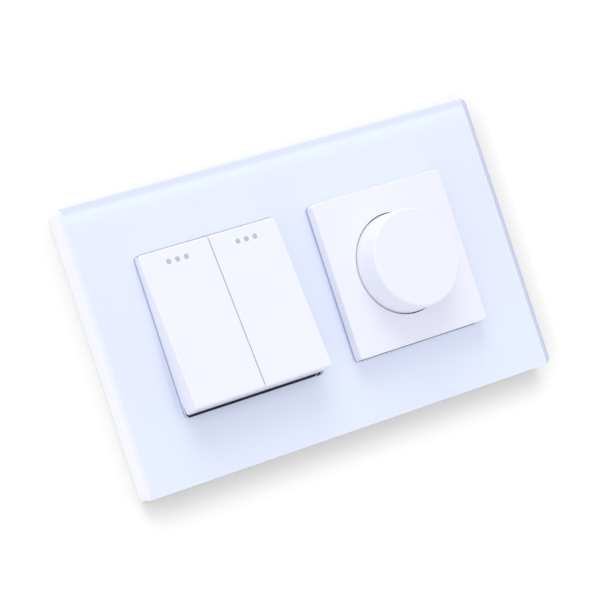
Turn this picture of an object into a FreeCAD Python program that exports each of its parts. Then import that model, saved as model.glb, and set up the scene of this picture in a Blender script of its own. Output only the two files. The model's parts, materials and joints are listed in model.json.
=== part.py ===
import FreeCAD, Part
import math
import os
import re

import Sketcher

# A two-gang rocker switch and a rotary dimmer behind one glass plate, for a double wall box.
# X runs along the plate, Z points up and Y points into the wall, whose surface is the plane y = 0.
# A level is a height in front of the wall surface: level L lies at y = -L, and the levels inside
# the wall box are negative. The origin is the middle of the plate on the wall surface.

doc = FreeCAD.newDocument("switch_with_dimmer")
sheet = doc.addObject("Spreadsheet::Sheet", "Sizes")

# Driving dimensions, in millimetres and degrees
sizes = {
    # glass plate
    "plate_width": 146.0,
    "plate_height": 86.0,
    "glass_thickness": 3.9,
    "glass_edge_round": 2.0,
    "glass_end_round": 0.6,
    "film_thickness": 0.1,
    "film_inset": 0.4,
    "tape_thickness": 0.2,
    "window_size": 48.5,
    "window_corner": 1.5,
    "window_pitch": 60.3,
    # plastic frame behind the glass
    "base_inset": 0.3,
    "base_corner": 1.0,
    "base_wall": 2.0,
    "base_deck": 1.0,
    "deck_gap": 0.2,
    "base_rib": 2.0,
    "base_rib_length": 40.0,
    "hook_spacing": 28.0,
    "hook_edge": 3.5,
    "hook_width": 5.0,
    "hook_thickness": 1.2,
    "hook_barb": 0.7,
    "hook_tail": 1.6,
    # steel bracket on the wall box
    "bracket_side_gap": 1.7,
    "bracket_end_gap": 4.7,
    "bracket_thickness": 1.0,
    "bracket_corner": 3.0,
    "fixing_slot_width": 4.6,
    "fixing_slot_length": 9.0,
    "fixing_head_room": 12.0,
    # what both modules share
    "fit_gap": 0.3,
    "touch_gap": 0.05,
    "body_inset": 1.25,
    "module_corner": 2.0,
    "module_wall": 1.6,
    "rear_wall": 2.0,
    "flange_lap": 1.75,
    "flange_thickness": 1.6,
    "joint_drop": 0.6,
    "lug_width": 10.0,
    "lug_reach": 1.3,
    "lug_height": 2.2,
    "tongue_width": 8.0,
    "tongue_length": 5.4,
    "tongue_thickness": 0.8,
    "tongue_barb": 0.9,
    # rocker keys
    "rocker_side_gap": 0.45,
    "rocker_end_gap": 0.75,
    "rocker_gap": 0.3,
    "skirt_gap": 0.3,
    "rocker_skin": 1.8,
    "rocker_wall": 1.4,
    "rocker_corner": 1.3,
    "rocker_edge": 0.8,
    "rocker_tilt": 6.5,
    "rocker_face_offset": 5.5,
    "rocker_pivot_depth": 1.8,
    "dot_radius": 0.8,
    "dot_spacing": 3.0,
    "dot_row": 19.5,
    "dot_depth": 0.5,
    # lever, plunger and spring under each key
    "seat_drop": 0.85,
    "floor_skin": 0.75,
    "pivot_radius": 1.2,
    "pivot_play": 0.05,
    "ear_thickness": 1.4,
    "ear_radius": 2.4,
    "ear_gap": 0.4,
    "hub_radius": 2.2,
    "platform_thickness": 1.0,
    "platform_length": 26.0,
    "platform_width": 15.2,
    "key_hook_width": 8.0,
    "key_hook_thickness": 1.2,
    "barrel_wall": 1.1,
    "barrel_length": 7.5,
    "barrel_roof": 1.0,
    "plunger_radius": 1.8,
    "plunger_play": 0.1,
    "plunger_reach": 14.0,
    "plunger_stem": 8.7,
    "spring_wire": 0.25,
    "spring_inset": 0.45,
    "spring_turns": 5.0,
    # contacts
    "lever_ratio": 1.2,
    "lever_arm": 8.0,
    "lever_width": 5.0,
    "lever_thickness": 0.8,
    "lever_play": 0.08,
    "rivet_radius": 1.4,
    "rivet_height": 0.6,
    "rivet_row": 6.9,
    "contact_width": 5.0,
    "contact_thickness": 0.8,
    "contact_start": 4.6,
    "contact_bend": 11.4,
    "knife_width": 1.6,
    "cheek_height": 3.6,
    "cheek_depth": 5.0,
    "saddle_gap": 1.4,
    # terminals
    "terminal_width": 10.0,
    "terminal_height": 7.0,
    "terminal_depth": 6.0,
    "terminal_row": 15.0,
    "wire_radius": 1.6,
    "wire_offset": 2.6,
    "entry_radius": 2.0,
    "collar_length": 1.0,
    "screw_radius": 1.45,
    "screw_head_radius": 2.3,
    "screw_head_height": 1.7,
    "screw_well_radius": 2.7,
    "screw_slot_width": 0.7,
    "screw_slot_depth": 0.9,
    "partition": 1.2,
    # dimmer front
    "cover_gap": 0.45,
    "cover_end_gap": 0.2,
    "cover_corner": 1.2,
    "cover_edge": 0.4,
    "cover_rise": 2.0,
    "cover_skin": 1.6,
    "cover_wall": 1.5,
    "knob_gap": 0.3,
    "knob_well_depth": 4.3,
    "knob_well_floor": 1.2,
    "cover_leg_width": 6.0,
    "cover_leg_inset": 2.2,
    "knob_base_radius": 15.3,
    "knob_top_radius": 15.0,
    "knob_rise": 9.5,
    "knob_edge": 0.7,
    "knob_skin": 1.8,
    "knob_wall": 1.6,
    "knob_hub_radius": 5.2,
    "knob_lift": 0.6,
    # potentiometer
    "shaft_radius": 3.0,
    "shaft_play": 0.05,
    "shaft_flat": 1.5,
    "shaft_flat_length": 8.0,
    "shaft_seat": 3.2,
    "bushing_wall": 0.45,
    "bushing_gap": 0.1,
    "nut_size": 10.0,
    "nut_height": 2.0,
    "washer_radius": 5.5,
    "washer_thickness": 0.3,
    "pot_radius": 8.2,
    "pot_plate": 0.8,
    "pot_depth": 6.7,
    "pot_wall": 0.8,
    "track_thickness": 1.0,
    "wiper_thickness": 1.0,
    "pin_width": 1.0,
    "pin_pitch": 5.0,
    "pin_row": 6.0,
    # dimmer circuit
    "board_gap": 1.4,
    "board_thickness": 1.6,
    "board_level": 10.0,
    "board_screw_inset": 2.5,
    "column_radius": 2.2,
    "board_screw_radius": 0.95,
    "board_screw_head": 1.9,
    "board_screw_head_height": 1.2,
    "board_screw_length": 7.0,
    "sink_width": 26.0,
    "sink_thickness": 1.5,
    "sink_inset": 2.5,
    "sink_rear_gap": 1.4,
    "triac_width": 9.0,
    "triac_height": 10.2,
    "triac_thickness": 4.5,
    "triac_tab_length": 6.5,
    "triac_tab_thickness": 1.3,
    "triac_lead": 0.7,
    "triac_lead_pitch": 2.54,
    "triac_lead_length": 2.0,
    "triac_stand": 2.4,
    "triac_rear_gap": 0.8,
    "triac_screw_radius": 1.5,
    "triac_screw_head": 2.7,
    "choke_centre_x": -11.0,
    "choke_gap": 0.3,
    "choke_core_radius": 7.2,
    "choke_core_bore": 4.4,
    "choke_core_height": 6.0,
    "choke_wire": 0.9,
    "capacitor_x": 11.5,
    "capacitor_z": 3.0,
    "capacitor_width": 13.0,
    "capacitor_height": 6.0,
    "capacitor_depth": 10.5,
    "fuse_row": -7.4,
    "fuse_radius": 2.4,
    "fuse_length": 20.0,
    "fuse_cap_length": 5.0,
    "fuse_cap_wall": 0.2,
    "fuse_stand": 4.0,
    "fuse_clip_thickness": 0.5,
    "fuse_clip_width": 4.0,
    "resistor_radius": 1.2,
    "resistor_length": 6.0,
    "resistor_pitch": 3.4,
    "resistor_x": -14.5,
    "resistor_z": 10.0,
    "terminal_gap": 0.3,
    "dimmer_terminal_row": -15.0,
    "link_width": 3.0,
    "link_thickness": 0.8,
    "vent_width": 1.8,
    "vent_length": 9.0,
    "vent_pitch": 6.0,
    "vent_count": 5.0,
    "vent_level": 13.0,
}
for row, (alias, number) in enumerate(sizes.items(), start=1):
    sheet.set(f"A{row}", alias)
    sheet.set(f"B{row}", str(number))
    sheet.setAlias(f"B{row}", alias)
doc.recompute()

# Sizes that follow from the driving ones
formulas = {
    "base_depth": "flange_front + deck_gap + base_deck",
    "bracket_width": "plate_width - 2 * (base_inset + base_wall + bracket_side_gap)",
    "bracket_height": "plate_height - 2 * (base_inset + base_wall + bracket_end_gap)",
    "hook_row": "bracket_height / 2 - hook_edge",
    "fixing_pitch": "2 * window_pitch",
    "module_body": "window_size - 2 * body_inset",
    "flange_size": "window_size + 2 * flange_lap",
    "glass_back": "base_depth + tape_thickness + film_thickness",
    "glass_front": "glass_back + glass_thickness",
    "half_pitch": "window_pitch / 2",
    "half_body": "module_body / 2",
    "bracket_window": "module_body + 2 * fit_gap",
    "deck_back": "base_depth - base_deck",
    "flange_front": "bracket_thickness + flange_thickness",
    "floor_front": "flange_front - seat_drop",
    "joint_level": "-joint_drop",
    "cavity_size": "module_body - 2 * module_wall",
    "rocker_width": "(window_size - 2 * rocker_side_gap - rocker_gap) / 2",
    "rocker_height": "window_size - 2 * rocker_end_gap",
    "gang_offset": "(rocker_width + rocker_gap) / 2",
    "left_gang": "-half_pitch - gang_offset",
    "right_gang": "-half_pitch + gang_offset",
    "pivot_level": "glass_front - rocker_pivot_depth",
    "skirt_drop": "pivot_level - floor_front - skirt_gap - rocker_height / 2 * sin(rocker_tilt)",
    "rocker_skirt": "rocker_face_offset + skirt_drop / cos(rocker_tilt)",
    "ear_centre": "rocker_width / 2 - rocker_wall - ear_gap - ear_thickness / 2",
    "barrel_bore": "plunger_radius + plunger_play",
    "barrel_radius": "barrel_bore + barrel_wall",
    "spring_radius": "plunger_radius - spring_inset",
    "lever_tilt": "rocker_tilt * lever_ratio",
    "key_seat": "rocker_face_offset - rocker_skin",
    "platform_back": "key_seat - platform_thickness",
    "vertex_rise": "lever_thickness / cos(lever_tilt)",
    "lever_pivot_level": "pivot_level - plunger_reach - lever_play - vertex_rise",
    "fixed_rivet_top": "lever_pivot_level - rivet_height - touch_gap",
    "strip_front": "fixed_rivet_top - rivet_height",
    "cheek_base": "lever_pivot_level - touch_gap - cheek_height",
    "terminal_front": "cheek_base - contact_thickness - saddle_gap",
    "terminal_back": "terminal_front - terminal_depth",
    "switch_depth": "rear_wall - terminal_back",
    "cover_width": "window_size - 2 * cover_gap",
    "cover_height": "window_size - 2 * cover_end_gap",
    "cover_leg_row": "cover_width / 2 - cover_leg_inset",
    "cover_front": "glass_front + cover_rise",
    "well_radius": "knob_base_radius + knob_gap",
    "well_floor": "cover_front - knob_well_depth",
    "knob_back": "well_floor + knob_lift",
    "knob_front": "cover_front + knob_rise",
    "shaft_front": "knob_front - shaft_seat",
    "bushing_radius": "shaft_radius + shaft_play + bushing_wall",
    "bushing_front": "knob_back - bushing_gap",
    "pot_front": "bracket_thickness",
    "pot_back": "pot_front - pot_depth",
    "track_front": "pot_back + track_thickness",
    "board_front": "-board_level",
    "board_back": "board_front - board_thickness",
    "board_size": "cavity_size - 2 * board_gap",
    "board_screw_row": "board_size / 2 - board_screw_inset",
    "sink_row": "board_size / 2 - sink_inset",
    "dimmer_depth": "rear_wall + triac_rear_gap + triac_height + triac_stand - board_back",
    "dimmer_inner": "rear_wall - dimmer_depth",
    "dimmer_terminal_front": "dimmer_inner + terminal_depth",
    "sink_height": "board_back - dimmer_inner - sink_rear_gap",
    "dimmer_terminal_x": "board_screw_row - column_radius - terminal_gap - terminal_width / 2",
    "fuse_level": "board_back - fuse_stand",
    "clip_reach": "fuse_radius + touch_gap + fuse_clip_thickness",
    "choke_reach": "choke_core_radius + touch_gap + choke_wire",
    "choke_centre_z": "fuse_row + clip_reach + choke_gap + choke_reach",
}


def full(text):
    """The expression with every named size and formula replaced by its sheet reference."""
    def swap(match):
        word = match.group(0)
        if word in sizes:
            return "Sizes." + word
        if word in formulas:
            return "(" + full(formulas[word]) + ")"
        return word
    return re.sub(r"[A-Za-z_]+", swap, str(text))


def number_of(text):
    """The value of an expression as it stands now."""
    return float(sheet.evalExpression(full(text).replace("Sizes.", "")))


def bind(item, **properties):
    """Ties properties to expressions: two underscores in a name stand for a dot."""
    for name, text in properties.items():
        item.setExpression(name.replace("__", "."), full(text))
    return item


def place(item, x="0", level="0", z="0"):
    """Puts a piece at x, at a level in front of the wall and at z."""
    return bind(item, Placement__Base__x=x, Placement__Base__y=f"-({level})", Placement__Base__z=z)


def place_turned(item, x, level, z, axis, angle):
    """Puts a piece on a pivot and turns it about an axis through it."""
    item.Placement = FreeCAD.Placement(FreeCAD.Vector(), FreeCAD.Rotation(axis, number_of(angle)))
    bind(item, Placement__Rotation__Angle=angle)
    return place(item, x, level, z)


# Plain solids

def block(name, x, z, width, height, low, high):
    """A box centred at x and z, between two levels."""
    box = doc.addObject("Part::Box", name)
    bind(box, Length=width, Width=f"({high}) - ({low})", Height=height)
    return place(box, f"({x}) - ({width}) / 2", high, f"({z}) - ({height}) / 2")


def rod(name, x, z, radius, low, high):
    """A cylinder square to the wall, between two levels."""
    item = doc.addObject("Part::Cylinder", name)
    item.Placement.Rotation = FreeCAD.Rotation(FreeCAD.Vector(1, 0, 0), 90)
    bind(item, Radius=radius, Height=f"({high}) - ({low})")
    return place(item, x, low, z)


def cross_rod(name, x_low, x_high, level, z, radius):
    """A cylinder along X."""
    item = doc.addObject("Part::Cylinder", name)
    item.Placement.Rotation = FreeCAD.Rotation(FreeCAD.Vector(0, 1, 0), 90)
    bind(item, Radius=radius, Height=f"({x_high}) - ({x_low})")
    return place(item, x_low, level, z)


def upright_rod(name, x, level, z_low, z_high, radius):
    """A cylinder along Z."""
    item = doc.addObject("Part::Cylinder", name)
    bind(item, Radius=radius, Height=f"({z_high}) - ({z_low})")
    return place(item, x, level, z_low)


def join(name, items):
    fused = doc.addObject("Part::MultiFuse", name)
    fused.Shapes = items
    return fused


def group(name, items):
    """Separate solids that share one node."""
    compound = doc.addObject("Part::Compound", name)
    compound.Links = items
    return compound


def cut(name, base, tools):
    item = doc.addObject("Part::Cut", name)
    item.Base = base
    item.Tool = tools[0] if len(tools) == 1 else join(name + "_tools", tools)
    return item


def overlap_of(name, first, second):
    item = doc.addObject("Part::MultiCommon", name)
    item.Shapes = [first, second]
    return item


# Sketches and the features made from them

def sketch_in(body, name, plane="XZ_Plane", level="0"):
    """A sketch on one of the body's own planes; on XZ it lies at a level in front of the wall."""
    sketch = body.newObject("Sketcher::SketchObject", name)
    origin = [item for item in body.Origin.OriginFeatures if item.Role == plane]
    sketch.AttachmentSupport = [(origin[0], "")]
    sketch.MapMode = "FlatFace"
    bind(sketch, AttachmentOffset__Base__z=level)
    return sketch


def hold(sketch, kind, *args):
    """Adds a constraint whose last argument is an expression."""
    text = args[-1]
    index = sketch.addConstraint(Sketcher.Constraint(kind, *args[:-1], number_of(text)))
    sketch.setExpression(f"Constraints[{index}]", full(text))


def draw_outline(sketch, points):
    """A closed outline of straight lines through points given as pairs of expressions."""
    corners = [FreeCAD.Vector(number_of(a), number_of(b), 0) for a, b in points]
    count = len(corners)
    lines = [Part.LineSegment(corners[i], corners[(i + 1) % count]) for i in range(count)]
    first = sketch.addGeometry(lines, False)[0]
    for i in range(count):
        sketch.addConstraint(Sketcher.Constraint("Coincident", first + i, 2, first + (i + 1) % count, 1))
    for i, (a, b) in enumerate(points):
        if a == "0":
            sketch.addConstraint(Sketcher.Constraint("PointOnObject", first + i, 1, -2))
        else:
            hold(sketch, "DistanceX", -1, 1, first + i, 1, a)
        if b == "0":
            sketch.addConstraint(Sketcher.Constraint("PointOnObject", first + i, 1, -1))
        else:
            hold(sketch, "DistanceY", -1, 1, first + i, 1, b)


def draw_rectangle(sketch, x, z, width, height, radius):
    """A rectangle centred at x and z, with rounded corners."""
    cx, cz, w, h, r = [number_of(text) for text in (x, z, width, height, radius)]
    left, right, low, high = cx - w / 2, cx + w / 2, cz - h / 2, cz + h / 2
    ends = [
        ((left + r, low), (right - r, low)),
        ((right, low + r), (right, high - r)),
        ((right - r, high), (left + r, high)),
        ((left, high - r), (left, low + r)),
    ]
    centres = [(right - r, low + r), (right - r, high - r), (left + r, high - r), (left + r, low + r)]
    starts = [-90, 0, 90, 180]
    ids = []
    for (a, b), (px, pz), start in zip(ends, centres, starts):
        line = Part.LineSegment(FreeCAD.Vector(*a, 0), FreeCAD.Vector(*b, 0))
        circle = Part.Circle(FreeCAD.Vector(px, pz, 0), FreeCAD.Vector(0, 0, 1), r)
        arc = Part.ArcOfCircle(circle, math.radians(start), math.radians(start + 90))
        ids += list(sketch.addGeometry([line, arc], False))
    for i in range(0, 8, 2):
        sketch.addConstraint(Sketcher.Constraint("Tangent", ids[i], 2, ids[i + 1], 1))
        sketch.addConstraint(Sketcher.Constraint("Tangent", ids[i + 1], 2, ids[(i + 2) % 8], 1))
        kind = "Horizontal" if i % 4 == 0 else "Vertical"
        sketch.addConstraint(Sketcher.Constraint(kind, ids[i]))
    for i in (3, 5, 7):
        sketch.addConstraint(Sketcher.Constraint("Equal", ids[1], ids[i]))
    hold(sketch, "Radius", ids[1], radius)
    hold(sketch, "DistanceY", -1, 1, ids[0], 1, f"({z}) - ({height}) / 2")
    hold(sketch, "DistanceY", -1, 1, ids[4], 1, f"({z}) + ({height}) / 2")
    hold(sketch, "DistanceX", -1, 1, ids[2], 1, f"({x}) + ({width}) / 2")
    hold(sketch, "DistanceX", -1, 1, ids[6], 1, f"({x}) - ({width}) / 2")


def pad(body, sketch, length, both_sides=False):
    feature = body.newObject("PartDesign::Pad", sketch.Name + "_pad")
    feature.Profile = sketch
    bind(feature, Length=length)
    if both_sides:
        feature.SideType = "Symmetric"
    doc.recompute()
    return feature


def pocket(body, sketch, depth):
    """Cuts from the sketch's level towards the wall."""
    feature = body.newObject("PartDesign::Pocket", sketch.Name + "_pocket")
    feature.Profile = sketch
    bind(feature, Length=depth)
    doc.recompute()
    return feature


def round_edges(body, name, radius, wanted):
    """Rounds the tip's edges that the test picks out."""
    tip = body.Tip
    names = [f"Edge{i}" for i, edge in enumerate(tip.Shape.Edges, start=1) if wanted(edge)]
    fillet = body.newObject("PartDesign::Fillet", name)
    fillet.Base = (tip, names)
    bind(fillet, Radius=radius)
    doc.recompute()
    return fillet


def lies_at(edge, axis, place_on_axis):
    """Whether the whole edge lies in one plane square to an axis."""
    box = edge.BoundBox
    low, high = [(box.XMin, box.XMax), (box.YMin, box.YMax), (box.ZMin, box.ZMax)][axis]
    near = 1e-4
    return abs(low - place_on_axis) < near and abs(high - place_on_axis) < near


def slab(name, x, z, width, height, radius, low, high):
    """A body: one rounded rectangle, padded between two levels."""
    body = doc.addObject("PartDesign::Body", name)
    sketch = sketch_in(body, name + "_outline", level=low)
    draw_rectangle(sketch, x, z, width, height, radius)
    pad(body, sketch, f"({high}) - ({low})")
    return body


def slab_cut(body, name, x, z, width, height, radius, low, high):
    """A rounded rectangular pocket from one level down to another."""
    sketch = sketch_in(body, name, level=high)
    draw_rectangle(sketch, x, z, width, height, radius)
    pocket(body, sketch, f"({high}) - ({low})")


def lathe(name, points, x="0", z="0"):
    """A body turned about an axis square to the wall, from pairs of radius and level."""
    body = doc.addObject("PartDesign::Body", name)
    sketch = sketch_in(body, name + "_section", plane="XY_Plane")
    draw_outline(sketch, [(radius, "0" if level == "0" else f"-({level})") for radius, level in points])
    turned = body.newObject("PartDesign::Revolution", name + "_turned")
    turned.Profile = sketch
    turned.ReferenceAxis = (sketch, ["V_Axis"])
    turned.Angle = 360
    doc.recompute()
    return place(body, x, "0", z)


def side_profile(name, points, x, width):
    """A body with its outline seen along X, as pairs of z and level, and a width along X."""
    body = doc.addObject("PartDesign::Body", name)
    sketch = sketch_in(body, name + "_section", plane="YZ_Plane")
    draw_outline(sketch, [("0" if level == "0" else f"-({level})", z) for z, level in points])
    pad(body, sketch, width, both_sides=True)
    return place(body, x, "0", "0")


parts = {}


def node(name, item):
    """Names a finished piece."""
    item.Label = name
    parts[name] = item
    return item


# Glass plate: clear glass with rounded long edges and two square windows

def make_glass_panel():
    body = doc.addObject("PartDesign::Body", "glass_panel")
    section = sketch_in(body, "glass_section", plane="YZ_Plane")
    draw_outline(section, [
        ("-(glass_back)", "-plate_height / 2"),
        ("-(glass_back)", "plate_height / 2"),
        ("-(glass_front)", "plate_height / 2"),
        ("-(glass_front)", "-plate_height / 2"),
    ])
    pad(body, section, "plate_width", both_sides=True)
    front, top, end = [number_of(text) for text in ("-(glass_front)", "plate_height / 2", "plate_width / 2")]
    round_edges(body, "glass_long_edges", "glass_edge_round", lambda edge: lies_at(edge, 1, front)
                and (lies_at(edge, 2, top) or lies_at(edge, 2, -top)))
    back = number_of("-(glass_back)")
    round_edges(body, "glass_end_edges", "glass_end_round", lambda edge: not lies_at(edge, 1, back)
                and (lies_at(edge, 0, end) or lies_at(edge, 0, -end)))
    for side, x in (("left", "-half_pitch"), ("right", "half_pitch")):
        slab_cut(body, f"glass_window_{side}", x, "0", "window_size", "window_size", "window_corner",
                 "glass_back", "glass_front")
    node("glass_panel", body)


def make_sheet(name, inset, low, high):
    """A thin layer behind the glass, with the same two windows."""
    body = slab(name, "0", "0", f"plate_width - 2 * ({inset})", f"plate_height - 2 * ({inset})", "base_corner",
                low, high)
    for side, x in (("left", "-half_pitch"), ("right", "half_pitch")):
        slab_cut(body, f"{name}_window_{side}", x, "0", "window_size", "window_size", "window_corner", low, high)
    return node(name, body)


# Frame behind the glass: a rim, a deck with the windows, ribs that press on the bracket, and hooks

def hook_places():
    for side, x in (("left", "-half_pitch"), ("right", "half_pitch")):
        for end, across in (("outer", "-hook_spacing / 2"), ("inner", "hook_spacing / 2")):
            for row, z, out in (("top", "hook_row", 1), ("bottom", "-hook_row", -1)):
                yield f"{side}_{end}_{row}", f"{x} + {across}", z, out


def make_base_frame():
    body = slab("base_shell", "0", "0", "plate_width - 2 * base_inset", "plate_height - 2 * base_inset",
                "base_corner", "0", "base_depth")
    for side, x in (("left", "-half_pitch"), ("right", "half_pitch")):
        slab_cut(body, f"base_window_{side}", x, "0", "window_size", "window_size", "window_corner",
                 "0", "base_depth")
    hollow = block("base_hollow", "0", "0", "plate_width - 2 * (base_inset + base_wall)",
                   "plate_height - 2 * (base_inset + base_wall)", "0", "deck_back")
    reliefs = [
        block(f"base_relief_{side}", x, "0", "fixing_head_room - 2 * base_wall", "fixing_head_room",
              "deck_back", "base_depth")
        for side, x in (("left", "-fixing_pitch / 2"), ("right", "fixing_pitch / 2"))
    ]
    shell = cut("base_opened", body, [hollow] + reliefs)
    solids = [shell, block("base_rib_middle", "0", "0", "base_rib", "base_rib_length",
                           "bracket_thickness", "deck_back")]
    for side, sign in (("left", "-"), ("right", "")):
        solids.append(block(f"base_rib_{side}", f"{sign}(bracket_width / 2 - base_rib)", "0", "base_rib",
                            "base_rib_length", "bracket_thickness", "deck_back"))
    for name, x, z, out in hook_places():
        solids.append(block(f"hook_stem_{name}", x, z, "hook_width", "hook_thickness", "-hook_tail", "deck_back"))
        barb_z = f"{z} + {out} * (hook_thickness + hook_barb) / 2"
        solids.append(block(f"hook_barb_{name}", x, barb_z, "hook_width", "hook_barb", "-hook_tail",
                            "-(touch_gap)"))
    node("base_frame", join("base_frame", solids))


# Bracket: steel sheet screwed to the wall box, which the modules and the frame clip into

def make_bracket():
    body = slab("bracket_sheet", "0", "0", "bracket_width", "bracket_height", "bracket_corner",
                "0", "bracket_thickness")
    for side, sign in (("left", "-"), ("right", "")):
        slab_cut(body, f"bracket_window_{side}", f"{sign}half_pitch", "0", "bracket_window", "bracket_window",
                 "module_corner", "0", "bracket_thickness")
        slot_radius = "fixing_slot_width / 2 - touch_gap / 10"
        slab_cut(body, f"fixing_slot_{side}", f"{sign}fixing_pitch / 2", "0", "fixing_slot_length",
                 "fixing_slot_width", slot_radius, "0", "bracket_thickness")
    slots = [
        block(f"hook_slot_{name}", x, f"{z} + {out} * hook_barb / 2", "hook_width + 2 * fit_gap",
              "hook_thickness + hook_barb + 2 * fit_gap", "0", "bracket_thickness")
        for name, x, z, out in hook_places()
    ]
    node("mounting_bracket", cut("mounting_bracket", body, slots))


# Parts that both modules have: a flanged frame in front of the bracket and a housing behind it

def tongues(name, x):
    """Snap tongues on the frame, which catch in the housing's side windows."""
    made = []
    for side, sign in (("left", "-"), ("right", "")):
        middle = f"{x} + {sign}(cavity_size / 2 - fit_gap - tongue_thickness / 2)"
        made.append(block(f"{name}_tongue_{side}", middle, "0", "tongue_thickness", "tongue_width",
                          "joint_level - tongue_length", "joint_level + joint_drop"))
        barb = f"{x} + {sign}(cavity_size / 2 - fit_gap + tongue_barb / 2)"
        made.append(block(f"{name}_barb_{side}", barb, "0", "tongue_barb", "tongue_width",
                          "joint_level - tongue_length", "joint_level - tongue_length + tongue_barb * 2"))
    return made


def module_frame(name, x, floor_level, floor_thickness, recessed=False):
    """The flange, the body that fills the bracket's window, and the floor across it."""
    flange = slab(f"{name}_flange", x, "0", "flange_size", "flange_size", "module_corner",
                  "bracket_thickness", "flange_front")
    if recessed:
        slab_cut(flange, f"{name}_recess", x, "0", "window_size", "window_size", "window_corner",
                 floor_level, "flange_front")
    body = slab(f"{name}_body", x, "0", "module_body", "module_body", "module_corner", "joint_level",
                floor_level)
    slab_cut(body, f"{name}_hollow", x, "0", "cavity_size - 2 * fit_gap", "cavity_size - 2 * fit_gap",
             "module_wall", "joint_level - touch_gap", f"{floor_level} - ({floor_thickness})")
    return join(f"{name}_plain", [flange, body] + tongues(name, x))


def module_housing(name, x, depth, openings, additions):
    """The rear housing: a box with snap windows, bracket lugs and what its module adds."""
    body = slab(f"{name}_box", x, "0", "module_body", "module_body", "module_corner", f"-({depth})",
                "joint_level")
    slab_cut(body, f"{name}_cavity", x, "0", "cavity_size", "cavity_size", "module_corner / 2",
             f"rear_wall - ({depth})", "joint_level")
    windows = [
        block(f"{name}_snap_{side}", f"{x} + {sign}(half_body - module_wall / 2)", "0", "module_wall * 2",
              "tongue_width + 2 * fit_gap", "joint_level - tongue_length - fit_gap",
              "joint_level - tongue_length + tongue_barb * 2 + fit_gap")
        for side, sign in (("left", "-"), ("right", ""))
    ]
    opened = cut(f"{name}_opened", body, windows + openings)
    # a lug starts below the joint line, so it stands on the housing's wall alone
    lugs = [
        block(f"{name}_lug_{row}", x, f"{sign}(half_body + lug_reach / 2 - touch_gap)", "lug_width",
              "lug_reach", "-lug_height", "joint_level - touch_gap")
        for row, sign in (("top", ""), ("bottom", "-"))
    ]
    return join(f"{name}_shell", [opened] + lugs + additions)


# Keys: hollow rockers that tilt about the middle, with inlaid dots near the top

gangs = (("left", "left_gang", -1), ("right", "right_gang", 1))
tilt_axis = FreeCAD.Vector(-1, 0, 0)


def on_pivot(name, gang_x, item):
    """Names a piece of a key and puts it on the key's pivot, with its top pressed in."""
    node(name, place_turned(item, gang_x, "pivot_level", "0", tilt_axis, "rocker_tilt"))


def make_rocker(side, gang_x, outer):
    """A hollow key with hooks for its lever. Its edges are round, but square along the split."""
    body = doc.addObject("PartDesign::Body", f"key_{side}")
    outline = sketch_in(body, f"key_{side}_outline", level="rocker_face_offset - rocker_skirt")
    draw_outline(outline, [
        ("-rocker_width / 2", "-rocker_height / 2"),
        ("rocker_width / 2", "-rocker_height / 2"),
        ("rocker_width / 2", "rocker_height / 2"),
        ("-rocker_width / 2", "rocker_height / 2"),
    ])
    pad(body, outline, "rocker_skirt")
    front = number_of("-(rocker_face_offset)")
    half = number_of("rocker_width / 2")
    end = number_of("rocker_height / 2")
    round_edges(body, f"key_{side}_corners", "rocker_corner", lambda edge: lies_at(edge, 0, outer * half)
                and (lies_at(edge, 2, end) or lies_at(edge, 2, -end)))
    round_edges(body, f"key_{side}_edges", "rocker_edge", lambda edge: lies_at(edge, 1, front)
                and not lies_at(edge, 0, -outer * half))
    slab_cut(body, f"key_{side}_hollow", "0", "0", "rocker_width - 2 * rocker_wall",
             "rocker_height - 2 * rocker_wall", "rocker_corner / 2",
             "rocker_face_offset - rocker_skirt", "key_seat")
    hooks = []
    for row, sign in (("top", ""), ("bottom", "-")):
        hooks.append(block(f"key_hook_{side}_{row}", "0",
                           f"{sign}(platform_length / 2 + fit_gap / 3 + key_hook_thickness / 2)",
                           "key_hook_width", "key_hook_thickness", "platform_back - platform_thickness",
                           "key_seat + touch_gap"))
        hooks.append(block(f"key_barb_{side}_{row}", "0", f"{sign}(platform_length / 2)", "key_hook_width",
                           "key_hook_thickness", "platform_back - platform_thickness",
                           "platform_back - touch_gap * 2"))
    whole = join(f"key_{side}_whole", [body] + hooks)
    pits = [
        rod(f"dot_pit_{side}_{i}", f"{i} * dot_spacing", "dot_row", "dot_radius",
            "rocker_face_offset - dot_depth", "rocker_face_offset + touch_gap")
        for i in (-1, 0, 1)
    ]
    on_pivot(f"rocker_{side}", gang_x, cut(f"key_{side}_pitted", whole, pits))
    dots = [
        rod(f"dot_{side}_{i}", f"{i} * dot_spacing", "dot_row", "dot_radius",
            "rocker_face_offset - dot_depth", "rocker_face_offset")
        for i in (-1, 0, 1)
    ]
    on_pivot(f"rocker_dots_{side}", gang_x, group(f"dots_{side}", dots))


def make_carrier(side, gang_x):
    """The lever under a key: a platform, a hub on two trunnions and a barrel for the plunger."""
    solids = [
        block(f"platform_{side}", "0", "0", "platform_width", "platform_length", "platform_back", "key_seat"),
        block(f"web_{side}", "0", "0", "platform_width", "hub_radius * 2", "0", "platform_back"),
        cross_rod(f"hub_{side}", "-(platform_width / 2)", "platform_width / 2", "0", "0", "hub_radius"),
        cross_rod(f"trunnions_{side}", "-(ear_centre + ear_thickness / 2)", "ear_centre + ear_thickness / 2",
                  "0", "0", "pivot_radius - pivot_play"),
        rod(f"barrel_{side}", "0", "0", "barrel_radius", "-(barrel_length)", "0"),
    ]
    bore = rod(f"barrel_bore_{side}", "0", "0", "barrel_bore", "-(barrel_length)", "barrel_roof")
    on_pivot(f"rocker_carrier_{side}", gang_x,
             cut(f"carrier_{side}", join(f"carrier_{side}_whole", solids), [bore]))


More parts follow.
